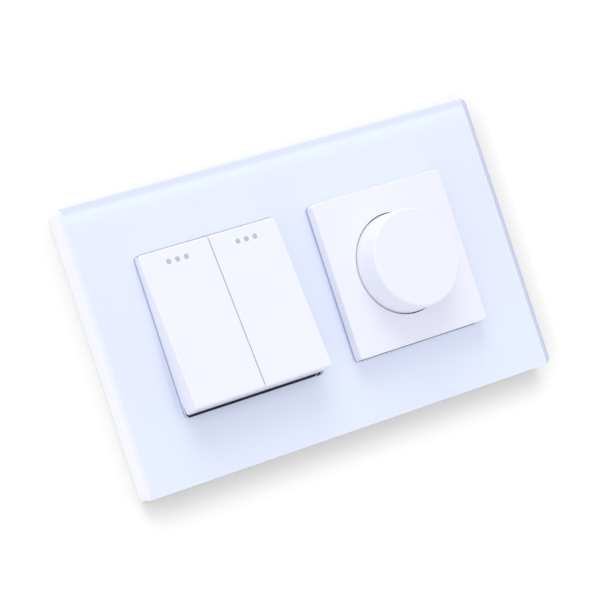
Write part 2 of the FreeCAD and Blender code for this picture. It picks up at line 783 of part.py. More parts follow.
def wound_wire(radius, wire, height, turns):
    """A round wire wound about Z, along arcs that meet in line, two to each quarter turn."""
    steps = round(turns * 4)
    climb = height / (2 * math.pi * turns)

    def point_and_course(step):
        angle = math.pi / 2 * step
        point = FreeCAD.Vector(radius * math.cos(angle), radius * math.sin(angle), height * step / steps)
        course = FreeCAD.Vector(-radius * math.sin(angle), radius * math.cos(angle), climb).normalize()
        return point, course

    arcs = []
    for step in range(steps):
        start, leaving = point_and_course(step)
        end, arriving = point_and_course(step + 1)
        chord = end - start
        # the reach at which both arcs have tangents of one length
        square = 2 * (1 - leaving.dot(arriving))
        linear = 2 * chord.dot(leaving + arriving)
        reach = (math.sqrt(linear ** 2 + 4 * square * chord.dot(chord)) - linear) / (2 * square)
        first, last = start + leaving * reach, end - arriving * reach
        meeting = (first + last) / 2
        for low, corner, high in ((start, first, meeting), (meeting, last, end)):
            middle = (low + high) / 2
            half_chord, rise = (high - low).Length / 2, (corner - middle).Length
            sag = half_chord * math.tan(math.atan2(rise, half_chord) / 2)
            arcs.append(Part.Arc(low, middle + (corner - middle).normalize() * sag, high).toShape())
    start, leaving = point_and_course(0)
    ring = Part.Wire([Part.Circle(start, leaving, wire).toShape()])
    return Part.Wire(arcs).makePipeShell([ring], True, False)


def make_plunger(side, gang_x):
    stem = rod(f"plunger_stem_{side}", "0", "0", "plunger_radius", "plunger_radius - plunger_reach",
               "plunger_radius - plunger_reach + plunger_stem")
    tip = doc.addObject("Part::Sphere", f"plunger_tip_{side}")
    place(bind(tip, Radius="plunger_radius"), "0", "plunger_radius - plunger_reach", "0")
    on_pivot(f"plunger_{side}", gang_x, join(f"plunger_{side}_whole", [stem, tip]))

    rest = "plunger_radius - plunger_reach + plunger_stem + spring_wire + touch_gap"
    room = f"barrel_roof - spring_wire - touch_gap - ({rest})"
    coil = doc.addObject("Part::Feature", f"spring_coil_{side}")
    coil.Shape = wound_wire(*[number_of(text) for text in ("spring_radius", "spring_wire", room, "spring_turns")])
    coil.Placement = FreeCAD.Placement(FreeCAD.Vector(), FreeCAD.Rotation(FreeCAD.Vector(1, 0, 0), 90))
    place(coil, "0", rest, "0")
    on_pivot(f"plunger_spring_{side}", gang_x, group(f"spring_{side}", [coil]))


# Contacts: a tilting lever on a knife edge, between two fixed contacts

def make_lever(side, gang_x):
    rise = "lever_arm * tan(lever_tilt)"
    inward = "lever_thickness * sin(lever_tilt)"
    upward = "lever_thickness * cos(lever_tilt)"
    lever = side_profile(f"lever_{side}", [
        ("0", "0"),
        ("lever_arm", rise),
        (f"lever_arm - {inward}", f"{rise} + {upward}"),
        ("0", "vertex_rise"),
        (f"{inward} - lever_arm", f"{rise} + {upward}"),
        ("-lever_arm", rise),
    ], "0", "lever_width")
    turn = FreeCAD.Vector(1, 0, 0)
    node(f"contact_lever_{side}", place_turned(group(f"lever_seat_{side}", [lever]), gang_x,
                                               "lever_pivot_level", "0", turn, "lever_tilt"))
    rivets = []
    for row, sign in (("top", 1), ("bottom", -1)):
        rivet = rod(f"lever_rivet_{side}_{row}", "0", f"{sign} * rivet_row", "rivet_radius", "-rivet_height", "0")
        arm = FreeCAD.Vector(sign, 0, 0)
        rivets.append(place_turned(group(f"rivet_arm_{side}_{row}", [rivet]), "0", "0", "0", arm, "lever_tilt"))
    node(f"lever_rivets_{side}", place_turned(group(f"rivets_{side}", rivets), gang_x, "lever_pivot_level",
                                              "0", turn, "lever_tilt"))


def make_fixed_contacts(side, gang_x):
    """The two outer contacts, each from under a rivet down to its terminal."""
    solids = []
    for row, sign in (("top", ""), ("bottom", "-")):
        strip = side_profile(f"strip_{side}_{row}", [
            (f"{sign}contact_start", "strip_front"),
            (f"{sign}contact_bend", "strip_front"),
            (f"{sign}contact_bend", "terminal_front + contact_thickness"),
            (f"{sign}(terminal_row + terminal_height / 2)", "terminal_front + contact_thickness"),
            (f"{sign}(terminal_row + terminal_height / 2)", "terminal_front"),
            (f"{sign}(contact_bend - contact_thickness)", "terminal_front"),
            (f"{sign}(contact_bend - contact_thickness)", "strip_front - contact_thickness"),
            (f"{sign}contact_start", "strip_front - contact_thickness"),
        ], gang_x, "contact_width")
        rivet = rod(f"fixed_rivet_{side}_{row}", gang_x, f"{sign}rivet_row", "rivet_radius", "strip_front",
                    "fixed_rivet_top")
        solids.append(join(f"fixed_contact_{side}_{row}", [strip, rivet]))
    node(f"fixed_contacts_{side}", group(f"fixed_pair_{side}", solids))


def make_common_contact(side, gang_x):
    """The knife edge that the lever tilts on, between two cheeks that keep it in line."""
    apex = "lever_pivot_level - touch_gap"
    knife = side_profile(f"knife_{side}", [
        ("0", apex),
        ("knife_width / 2", f"{apex} - knife_width / 2"),
        ("knife_width / 2", "terminal_front"),
        ("-knife_width / 2", "terminal_front"),
        ("-knife_width / 2", f"{apex} - knife_width / 2"),
    ], gang_x, "lever_width + 2 * touch_gap")
    cheek_offset = "lever_width / 2 + touch_gap + contact_thickness / 2"
    solids = [knife, block(f"saddle_{side}", gang_x, "0", "lever_width + 2 * (touch_gap + contact_thickness)",
                           "cheek_depth", "cheek_base - contact_thickness", "cheek_base")]
    for end, sign in (("outer", "-"), ("inner", "")):
        solids.append(block(f"cheek_{side}_{end}", f"{gang_x} + {sign}({cheek_offset})", "0",
                            "contact_thickness", "cheek_depth", "cheek_base",
                            "lever_pivot_level + lever_thickness"))
    node(f"common_contact_{side}", join(f"common_{side}", solids))


# Terminals: brass blocks with a bore for the wire and a screw, reached from behind

def terminal(name, x, z, low, high, link_to=None):
    """A block with its screw. The bore's collar sits in the wall, and the link reaches a board."""
    mouth = f"{low} - collar_length"
    solid = join(f"{name}_collared", [
        block(f"{name}_block", x, z, "terminal_width", "terminal_height", low, high),
        rod(f"{name}_collar", f"{x} - wire_offset", z, "entry_radius - touch_gap", mouth, low),
    ])
    if link_to:
        link = block(f"{name}_link", x, z, "link_width", "link_thickness", high, link_to)
        solid = join(f"{name}_linked", [solid, link])
    holes = [
        rod(f"{name}_bore", f"{x} - wire_offset", z, "wire_radius", mouth, high),
        rod(f"{name}_tap", f"{x} + wire_offset", z, "screw_radius + touch_gap", low, high),
    ]
    body = cut(name, solid, holes)
    head = rod(f"{name}_head", f"{x} + wire_offset", z, "screw_head_radius", f"{low} - screw_head_height", low)
    shank = rod(f"{name}_shank", f"{x} + wire_offset", z, "screw_radius", low, f"{high} - touch_gap")
    slot = block(f"{name}_slot", f"{x} + wire_offset", z, "screw_head_radius * 3", "screw_slot_width",
                 f"{low} - screw_head_height", f"{low} - screw_head_height + screw_slot_depth")
    screw = cut(f"{name}_screw", join(f"{name}_screw_blank", [head, shank]), [slot])
    return body, screw


def terminal_openings(name, x, z, low, high):
    """What a terminal needs in the rear wall: a wire entry and a well for the screw head."""
    return [
        rod(f"{name}_entry", f"{x} - wire_offset", z, "entry_radius", low, high),
        rod(f"{name}_well", f"{x} + wire_offset", z, "screw_well_radius", low, high),
    ]


# Switch module

def switch_terminal_places():
    for side, gang_x, outer in gangs:
        for row, z in (("top", "terminal_row"), ("middle", "0"), ("bottom", "-terminal_row")):
            yield f"terminal_{side}_{row}", gang_x, z


def make_switch_module():
    solids = [module_frame("switch_frame", "-half_pitch", "floor_front", "floor_front - joint_level - floor_skin",
                           recessed=True)]
    bores = []
    for side, gang_x, outer in gangs:
        for end, sign in (("outer", "-"), ("inner", "")):
            ear_x = f"{gang_x} + {sign}ear_centre"
            solids.append(block(f"ear_{side}_{end}", ear_x, "0", "ear_thickness", "ear_radius * 2",
                                "floor_front - floor_skin", "pivot_level"))
            solids.append(cross_rod(f"ear_top_{side}_{end}", f"{ear_x} - ear_thickness / 2",
                                    f"{ear_x} + ear_thickness / 2", "pivot_level", "0", "ear_radius"))
        bores.append(cross_rod(f"pivot_bore_{side}", f"{gang_x} - ear_centre - ear_thickness",
                               f"{gang_x} + ear_centre + ear_thickness", "pivot_level", "0", "pivot_radius"))
        bores.append(block(f"barrel_opening_{side}", gang_x, "0", "(barrel_radius + fit_gap) * 2",
                           "(barrel_radius + fit_gap) * 3", "joint_level - fit_gap", "floor_front + fit_gap"))
    node("switch_frame", cut("switch_frame_bored", join("switch_frame_eared", solids), bores))

    blocks, screws, openings = [], [], []
    for name, x, z in switch_terminal_places():
        body, screw = terminal(name, x, z, "terminal_back", "terminal_front")
        blocks.append(body)
        screws.append(screw)
        openings += terminal_openings(name, x, z, "-(switch_depth)", "terminal_back")
    wall = block("switch_partition", "-half_pitch", "0", "partition", "cavity_size", "terminal_back",
                 "-(module_wall) * 2")
    node("switch_housing", module_housing("switch_rear", "-half_pitch", "switch_depth", openings, [wall]))
    node("switch_terminals", group("switch_terminal_set", blocks))
    node("switch_terminal_screws", group("switch_screw_set", screws))

    for side, gang_x, outer in gangs:
        make_rocker(side, gang_x, outer)
        make_carrier(side, gang_x)
        make_plunger(side, gang_x)
        make_lever(side, gang_x)
        make_fixed_contacts(side, gang_x)
        make_common_contact(side, gang_x)


# Dimmer module

def make_cover():
    """The square cover, with a round well that the knob turns in."""
    body = slab("cover_block", "half_pitch", "0", "cover_width", "cover_height", "cover_corner", "flange_front",
                "cover_front")
    front = number_of("-(cover_front)")
    round_edges(body, "cover_edges", "cover_edge", lambda edge: lies_at(edge, 1, front))
    slab_cut(body, "cover_hollow", "half_pitch", "0", "cover_width - 2 * cover_wall",
             "cover_height - 2 * cover_wall", "cover_corner / 2", "flange_front", "cover_front - cover_skin")
    collar = rod("cover_collar", "half_pitch", "0", "well_radius + cover_wall",
                 "well_floor - knob_well_floor", "cover_front - cover_skin")
    legs = [
        block(f"cover_leg_{row}", "half_pitch", f"{sign}cover_leg_row", "cover_leg_width", "cover_wall",
              "joint_level", "cover_front - cover_skin")
        for row, sign in (("top", ""), ("bottom", "-"))
    ]
    well = rod("cover_well", "half_pitch", "0", "well_radius", "well_floor", "cover_front + touch_gap")
    eye = rod("cover_eye", "half_pitch", "0", "washer_radius + knob_lift * 2", "well_floor - knob_well_floor",
              "well_floor")
    node("dimmer_cover", cut("cover_bored", join("cover_whole", [body, collar] + legs), [well, eye]))


def make_knob():
    """The knob: a turned cup with a hub, whose bore has a flat for the shaft."""
    turned = lathe("knob_turned", [
        ("0", "knob_front"),
        ("knob_top_radius", "knob_front"),
        ("knob_base_radius", "cover_front"),
        ("knob_base_radius", "knob_back"),
        ("knob_base_radius - knob_wall", "knob_back"),
        ("knob_top_radius - knob_wall", "knob_front - knob_skin"),
        ("knob_hub_radius", "knob_front - knob_skin"),
        ("knob_hub_radius", "knob_back"),
        ("shaft_radius + touch_gap", "knob_back"),
        ("shaft_radius + touch_gap", "shaft_front + touch_gap"),
        ("0", "shaft_front + touch_gap"),
    ], "half_pitch", "0")
    front = number_of("-(knob_front)")
    round_edges(turned, "knob_top_edge", "knob_edge", lambda edge: lies_at(edge, 1, front))
    key_width = "shaft_radius + touch_gap - shaft_flat"
    key_block = block("knob_key_block", f"half_pitch + shaft_flat + touch_gap + ({key_width}) / 2", "0",
                      key_width, "shaft_radius * 2", "shaft_front - shaft_flat_length + knob_lift",
                      "shaft_front + touch_gap")
    key_round = rod("knob_key_round", "half_pitch", "0", "shaft_radius + touch_gap * 2",
                    "shaft_front - shaft_flat_length + knob_lift", "shaft_front + touch_gap")
    key = overlap_of("knob_key", key_block, key_round)
    node("dimmer_knob", join("knob_keyed", [turned, key]))


def make_potentiometer():
    x = "half_pitch"
    shaft = rod("shaft_round", x, "0", "shaft_radius", "track_front + fit_gap", "shaft_front")
    flat = block("shaft_flat_cut", f"{x} + shaft_flat + shaft_radius / 2", "0", "shaft_radius",
                 "shaft_radius * 3", "shaft_front - shaft_flat_length", "shaft_front")
    node("potentiometer_shaft", cut("shaft_cut", shaft, [flat]))
    node("potentiometer_bushing", lathe("bushing_turned", [
        ("shaft_radius + shaft_play", "pot_front - pot_plate"),
        ("pot_radius", "pot_front - pot_plate"),
        ("pot_radius", "pot_front"),
        ("bushing_radius", "pot_front"),
        ("bushing_radius", "bushing_front"),
        ("shaft_radius + shaft_play", "bushing_front"),
    ], x, "0"))
    node("potentiometer_case", lathe("pot_case_turned", [
        ("pot_radius - pot_wall", "track_front"),
        ("pot_radius", "track_front"),
        ("pot_radius", "pot_front - pot_plate"),
        ("pot_radius - pot_wall", "pot_front - pot_plate"),
    ], x, "0"))
    node("potentiometer_wiper", lathe("wiper_turned", [
        ("shaft_radius + touch_gap / 2", "track_front + fit_gap"),
        ("pot_radius - pot_wall - fit_gap", "track_front + fit_gap"),
        ("pot_radius - pot_wall - fit_gap", "track_front + fit_gap + wiper_thickness"),
        ("shaft_radius + touch_gap / 2", "track_front + fit_gap + wiper_thickness"),
    ], x, "0"))
    track = rod("track_disc", x, "0", "pot_radius", "pot_back", "track_front")
    pins = [
        block(f"track_pin_{i}", f"{x} + {i} * pin_pitch", "-pin_row", "pin_width", "pin_width / 2",
              "board_front", "pot_back")
        for i in (-1, 0, 1)
    ]
    node("resistive_track", join("track_pinned", [track] + pins))
    node("potentiometer_washer", lathe("washer_turned", [
        ("bushing_radius + touch_gap", "flange_front"),
        ("washer_radius", "flange_front"),
        ("washer_radius", "flange_front + washer_thickness"),
        ("bushing_radius + touch_gap", "flange_front + washer_thickness"),
    ], x, "0"))
    prism = doc.addObject("Part::Prism", "nut_prism")
    prism.Polygon = 6
    prism.Placement.Rotation = FreeCAD.Rotation(FreeCAD.Vector(1, 0, 0), 90)
    place(bind(prism, Circumradius="nut_size / 2 / cos(30)", Height="nut_height"), x,
          "flange_front + washer_thickness", "0")
    tap = rod("nut_tap", x, "0", "bushing_radius + touch_gap", "flange_front",
              "flange_front + washer_thickness + nut_height")
    node("potentiometer_nut", cut("nut_tapped", prism, [tap]))


def board_corners():
    for side, across in (("left", "-"), ("right", "")):
        for row, up in (("bottom", "-"), ("top", "")):
            yield f"{side}_{row}", f"half_pitch + {across}board_screw_row", f"{up}board_screw_row"


def make_board():
    board = block("board_blank", "half_pitch", "0", "board_size", "board_size", "board_back", "board_front")
    holes, screws = [], []
    for name, x, z in board_corners():
        holes.append(rod(f"board_hole_{name}", x, z, "board_screw_radius + touch_gap", "board_back",
                         "board_front"))
        head = rod(f"board_screw_head_{name}", x, z, "board_screw_head", "board_front",
                   "board_front + board_screw_head_height")
        shank = rod(f"board_screw_shank_{name}", x, z, "board_screw_radius",
                    "board_front - board_screw_length", "board_front")
        screws.append(join(f"board_screw_{name}", [head, shank]))
    node("circuit_board", cut("board_drilled", board, holes))
    node("board_screws", group("board_screw_set", screws))
    resistors = []
    for i in range(3):
        z = f"resistor_z - {i} * resistor_pitch"
        resistors.append(cross_rod(f"resistor_{i}", "half_pitch + resistor_x - resistor_length / 2",
                                   "half_pitch + resistor_x + resistor_length / 2",
                                   "board_front + resistor_radius", z, "resistor_radius"))
    node("board_resistors", group("resistor_set", resistors))


def make_power_parts():
    x = "half_pitch"
    sink = block("sink_plate", x, "sink_row + sink_thickness / 2", "sink_width", "sink_thickness",
                 "board_back - sink_height", "board_back")
    body_high = "board_back - triac_stand"
    body_low = f"{body_high} - triac_height"
    middle = f"({body_high} + {body_low}) / 2"
    body_x = f"{x} - triac_tab_length / 2"
    tab_x = f"{x} + triac_width / 2"
    case = block("triac_case", body_x, "sink_row - triac_thickness / 2", "triac_width", "triac_thickness",
                 body_low, body_high)
    tab = block("triac_tab", tab_x, "sink_row - triac_tab_thickness / 2", "triac_tab_length",
                "triac_tab_thickness", body_low, body_high)
    solids = [case, tab]
    lead_z = "sink_row - triac_thickness / 2"
    for i in (-1, 0, 1):
        level = f"{middle} + {i} * triac_lead_pitch"
        # each lead leaves the case sideways, and the outer ones reach further before they turn to the board
        reach = f"triac_lead_length + {1 - i} * triac_lead * 2"
        start = f"{body_x} - triac_width / 2"
        solids.append(block(f"triac_lead_out_{i}", f"{start} - ({reach}) / 2", lead_z, reach, "triac_lead",
                            f"{level} - triac_lead / 2", f"{level} + triac_lead / 2"))
        solids.append(block(f"triac_lead_up_{i}", f"{start} - ({reach}) + triac_lead / 2", lead_z, "triac_lead",
                            "triac_lead", level, "board_back"))
    whole = join("triac_whole", solids)
    bolt_x = f"{tab_x} + triac_lead"
    hole = upright_rod("triac_hole", bolt_x, middle, "sink_row - triac_thickness",
                       "sink_row + sink_thickness", "triac_screw_radius + touch_gap")
    node("triac", cut("triac_drilled", whole, [hole]))
    sink_hole = upright_rod("sink_hole", bolt_x, middle, "sink_row - touch_gap",
                            "sink_row + sink_thickness + touch_gap", "triac_screw_radius + touch_gap")
    node("heat_sink", cut("sink_drilled", sink, [sink_hole]))
    shank = upright_rod("triac_screw_shank", bolt_x, middle, "sink_row - triac_tab_thickness",
                        "sink_row + sink_thickness", "triac_screw_radius")
    head = upright_rod("triac_screw_head", bolt_x, middle,
                       "sink_row - triac_tab_thickness - triac_screw_radius",
                       "sink_row - triac_tab_thickness", "triac_screw_head")
    node("triac_screw", join("triac_screw_whole", [shank, head]))

    choke_x, choke_z = f"{x} + choke_centre_x", "choke_centre_z"
    core_high = "board_back - choke_wire - touch_gap"
    core_low = f"{core_high} - choke_core_height"
    node("choke_core", lathe("choke_core_turned", [
        ("choke_core_bore", core_low),
        ("choke_core_radius", core_low),
        ("choke_core_radius", core_high),
        ("choke_core_bore", core_high),
    ], choke_x, choke_z))
    outer = rod("winding_outer", choke_x, choke_z, "choke_reach", f"{core_low} - touch_gap - choke_wire",
                "board_back")
    eye = rod("winding_eye", choke_x, choke_z, "choke_core_bore - touch_gap - choke_wire",
              f"{core_low} - choke_wire * 2", "board_back + touch_gap")
    room_outer = rod("winding_room_outer", choke_x, choke_z, "choke_core_radius + touch_gap",
                     f"{core_low} - touch_gap", f"{core_high} + touch_gap")
    room_inner = rod("winding_room_inner", choke_x, choke_z, "choke_core_bore - touch_gap",
                     f"{core_low} - choke_wire", "board_back")
    room = cut("winding_room", room_outer, [room_inner])
    node("choke_winding", cut("winding_hollow", outer, [eye, room]))
    node("film_capacitor", block("capacitor_block", f"{x} + capacitor_x", "capacitor_z", "capacitor_width",
                                 "capacitor_height", "board_back - capacitor_depth", "board_back"))


def make_fuse():
    """A glass fuse in two spring clips."""
    x = "half_pitch"
    low, high = f"{x} - fuse_length / 2", f"{x} + fuse_length / 2"
    node("fuse_tube", cross_rod("fuse_glass", f"{low} + fuse_cap_wall", f"{high} - fuse_cap_wall", "fuse_level",
                                "fuse_row", "fuse_radius - fuse_cap_wall - touch_gap"))
    caps, clips = [], []
    for side, start, end in (("left", low, f"{low} + fuse_cap_length"),
                             ("right", f"{high} - fuse_cap_length", high)):
        sleeve = cross_rod(f"fuse_cap_{side}_round", start, end, "fuse_level", "fuse_row", "fuse_radius")
        room = cross_rod(f"fuse_cap_{side}_room", f"{low} + fuse_cap_wall", f"{high} - fuse_cap_wall",
                         "fuse_level", "fuse_row", "fuse_radius - fuse_cap_wall")
        caps.append(cut(f"fuse_cap_{side}", sleeve, [room]))
        middle = f"({start} + ({end})) / 2"
        arms = block(f"fuse_clip_{side}_block", middle, "fuse_row", "fuse_clip_width", "clip_reach * 2",
                     "fuse_level - fuse_radius / 2", "board_back")
        gap = cross_rod(f"fuse_clip_{side}_seat", f"{middle} - fuse_clip_width", f"{middle} + fuse_clip_width",
                        "fuse_level", "fuse_row", "fuse_radius + touch_gap")
        mouth = block(f"fuse_clip_{side}_mouth", middle, "fuse_row", "fuse_clip_width * 2",
                      "(fuse_radius + touch_gap) * 1.8", "fuse_level - fuse_radius", "fuse_level")
        clips.append(cut(f"fuse_clip_{side}", arms, [gap, mouth]))
    node("fuse_caps", group("fuse_cap_pair", caps))
    node("fuse_clips", group("fuse_clip_pair", clips))


def make_dimmer_module():
    frame = module_frame("dimmer_front", "half_pitch", "flange_front", "flange_thickness")
    holes = [rod("bushing_hole", "half_pitch", "0", "bushing_radius + touch_gap", "joint_level",
                 "flange_front + touch_gap")]
    for row, sign in (("top", ""), ("bottom", "-")):
        holes.append(block(f"cover_leg_slot_{row}", "half_pitch", f"{sign}cover_leg_row",
                           "cover_leg_width + 2 * fit_gap", "cover_wall + 2 * fit_gap",
                           "joint_level - fit_gap", "flange_front + fit_gap"))
    node("dimmer_frame", cut("dimmer_frame_bored", frame, holes))

    blocks, screws, openings = [], [], []
    for side, sign in (("left", "-"), ("right", "")):
        name = f"dimmer_terminal_{side}"
        x = f"half_pitch + {sign}dimmer_terminal_x"
        body, screw = terminal(name, x, "dimmer_terminal_row", "dimmer_inner", "dimmer_terminal_front",
                               "board_back")
        blocks.append(body)
        screws.append(screw)
        openings += terminal_openings(name, x, "dimmer_terminal_row", "-(dimmer_depth)", "dimmer_inner")
    for i in range(int(number_of("vent_count"))):
        across = f"half_pitch + ({i} - (vent_count - 1) / 2) * vent_pitch"
        openings.append(block(f"vent_{i}", across, "0", "vent_width", "module_body * 2",
                              "-(vent_level) - vent_length / 2", "-(vent_level) + vent_length / 2"))
    columns = []
    for name, x, z in board_corners():
        column = rod(f"column_{name}", x, z, "column_radius", "dimmer_inner", "board_back")
        hole = rod(f"column_hole_{name}", x, z, "board_screw_radius + touch_gap",
                   "board_front - board_screw_length - fit_gap", "board_back + touch_gap")
        columns.append(cut(f"column_bored_{name}", column, [hole]))
    node("dimmer_housing", module_housing("dimmer_rear", "half_pitch", "dimmer_depth", openings, columns))
    node("dimmer_terminals", group("dimmer_terminal_set", blocks))
    node("dimmer_terminal_screws", group("dimmer_screw_set", screws))

    make_cover()
    make_knob()
    make_potentiometer()
    make_board()
    make_power_parts()
    make_fuse()


make_glass_panel()
make_sheet("glass_back_film", "film_inset", "base_depth + tape_thickness", "glass_back")
make_sheet("bonding_tape", "film_inset + base_inset", "base_depth", "base_depth + tape_thickness")
make_base_frame()
make_bracket()
make_switch_module()
make_dimmer_module()

# Check every object, then write each piece
doc.recompute()
faults = [item.Name for item in doc.Objects if "Invalid" in item.State or "Error" in item.State]
for name, item in parts.items():
    shape = item.Shape
    if shape.isNull() or not shape.isValid() or not shape.Solids:
        faults.append(name)
if faults:
    raise RuntimeError("failed objects: " + ", ".join(faults))
os.makedirs("parts", exist_ok=True)
for name, item in parts.items():
    item.Shape.exportStep(f"parts/{name}.step")
    print(f"{name}: {len(item.Shape.Solids)} solids, {item.Shape.Volume:.1f} mm3")
print(len(parts), "pieces")
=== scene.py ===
# Dresses a glass wall plate with two rocker keys and a rotary dimmer around its CAD frame.
# X runs along the plate, Z is up and Y points into the wall, in metres.
import json
import math

import bmesh
import bpy
from mathutils import Matrix, Vector


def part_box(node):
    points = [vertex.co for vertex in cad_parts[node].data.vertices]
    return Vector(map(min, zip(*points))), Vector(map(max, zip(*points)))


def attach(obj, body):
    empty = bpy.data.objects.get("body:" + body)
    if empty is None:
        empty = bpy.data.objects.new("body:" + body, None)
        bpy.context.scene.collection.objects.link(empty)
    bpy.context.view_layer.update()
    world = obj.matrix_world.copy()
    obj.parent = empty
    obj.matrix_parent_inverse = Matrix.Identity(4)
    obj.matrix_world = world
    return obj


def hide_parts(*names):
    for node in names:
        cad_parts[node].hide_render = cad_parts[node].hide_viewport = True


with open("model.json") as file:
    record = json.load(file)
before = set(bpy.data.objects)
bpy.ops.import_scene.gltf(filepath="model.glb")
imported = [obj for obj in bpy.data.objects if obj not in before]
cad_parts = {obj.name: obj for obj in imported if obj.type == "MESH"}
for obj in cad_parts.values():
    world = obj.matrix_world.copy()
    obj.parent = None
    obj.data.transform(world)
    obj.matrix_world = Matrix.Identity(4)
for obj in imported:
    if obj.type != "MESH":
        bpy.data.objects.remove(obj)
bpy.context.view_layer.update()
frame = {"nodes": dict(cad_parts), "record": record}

nodes = frame["nodes"]
slotOf = {part["node"]: part["material_slot"] for part in frame["record"]["subparts"]}
scene = bpy.context.scene
print("frame loaded with", len(nodes), "nodes")


def addObject(name, data):
    thing = bpy.data.objects.new(name, data)
    scene.collection.objects.link(thing)
    return thing


# Camera, at the photograph's angle

photoView = {
    "place": (-0.44503, -0.71672, -0.01880),
    "aim": (-0.006378, -0.008, -0.001637),
    "roll": math.radians(-18.048),
    "lens": 170.76,
    "sensor": 36.0,
    "clip": (0.01, 20),
}


def makeCamera(view):
    data = bpy.data.cameras.new("photoCamera")
    data.lens = view["lens"]
    data.sensor_width = view["sensor"]
    data.clip_start, data.clip_end = view["clip"]
    camera = addObject("photoCamera", data)
    place = Vector(view["place"])
    course = (Vector(view["aim"]) - place).to_track_quat("-Z", "Y").to_matrix().to_4x4()
    camera.matrix_world = Matrix.Translation(place) @ course @ Matrix.Rotation(view["roll"], 4, "Z")
    scene.camera = camera


makeCamera(photoView)


# Small tools for node trees

def feed(tree, node, inputs):
    # each input takes a value, or the output of another node
    for key, value in inputs.items():
        if isinstance(value, bpy.types.NodeSocket):
            tree.links.new(value, node.inputs[key])
        else:
            node.inputs[key].default_value = value


def addNode(tree, kind, inputs=None, **settings):
    node = tree.nodes.new(kind)
    for key, value in settings.items():
        setattr(node, key, value)
    feed(tree, node, inputs or {})
    return node


def startMaterial(name):
    material = bpy.data.materials.new(name)
    material.use_nodes = True
    tree = material.node_tree
    return material, tree, tree.nodes["Principled BSDF"]


def objectPlace(tree):
    return addNode(tree, "ShaderNodeTexCoord").outputs["Object"]


def noiseOf(tree, size, detail=2.0, stretch=(1.0, 1.0, 1.0)):
    # size is the width of one patch in metres; a stretch below 1 draws the patches out on that axis
    mapping = addNode(tree, "ShaderNodeMapping", {"Vector": objectPlace(tree), "Scale": stretch})
    noise = addNode(tree, "ShaderNodeTexNoise", {
        "Vector": mapping.outputs["Vector"], "Scale": 1 / size, "Detail": detail})
    return noise.outputs["Fac"]


def rampOf(tree, factor, stops, fade="LINEAR"):
    ramp = addNode(tree, "ShaderNodeValToRGB", {"Fac": factor})
    band = ramp.color_ramp
    band.interpolation = fade
    while len(band.elements) < len(stops):
        band.elements.new(0.5)
    for element, (place, colour) in zip(band.elements, stops):
        element.position = place
        element.color = (*colour, 1)
    return ramp.outputs["Color"]


def rangeOf(tree, factor, low, high, fromLow=0.2, fromHigh=0.8):
    # from where most of a noise lies, unless told otherwise
    spread = addNode(tree, "ShaderNodeMapRange", {
        "Value": factor, "From Min": fromLow, "From Max": fromHigh, "To Min": low, "To Max": high})
    return spread.outputs["Result"]


def alongOf(tree, axis, box):
    # 0 at the low end of a box on this axis, and 1 at its high end
    split = addNode(tree, "ShaderNodeSeparateXYZ", {"Vector": objectPlace(tree)})
    low, high = (corner["XYZ".index(axis)] for corner in box)
    return rangeOf(tree, split.outputs[axis], 0.0, 1.0, low, high)


def bumpOf(tree, height, relief):
    return addNode(tree, "ShaderNodeBump", {"Height": height, "Distance": relief}).outputs["Normal"]


def anyRay(tree, *kinds):
    # 1 for every ray that is of one of these kinds
    path = addNode(tree, "ShaderNodeLightPath")
    share = path.outputs[kinds[0]]
    for kind in kinds[1:]:
        share = mathOf(tree, "MAXIMUM", share, path.outputs[kind])
    return share


def mathOf(tree, operation, first, second=0):
    return addNode(tree, "ShaderNodeMath", {0: first, 1: second}, operation=operation).outputs[0]


def showMix(tree, output, share, first, second):
    # share is how much of the second shader shows
    mix = addNode(tree, "ShaderNodeMixShader", {0: share, 1: first.outputs[0], 2: second.outputs[0]})
    feed(tree, tree.nodes[output], {"Surface": mix.outputs[0]})


# Finishes: colours are linear, sizes in metres

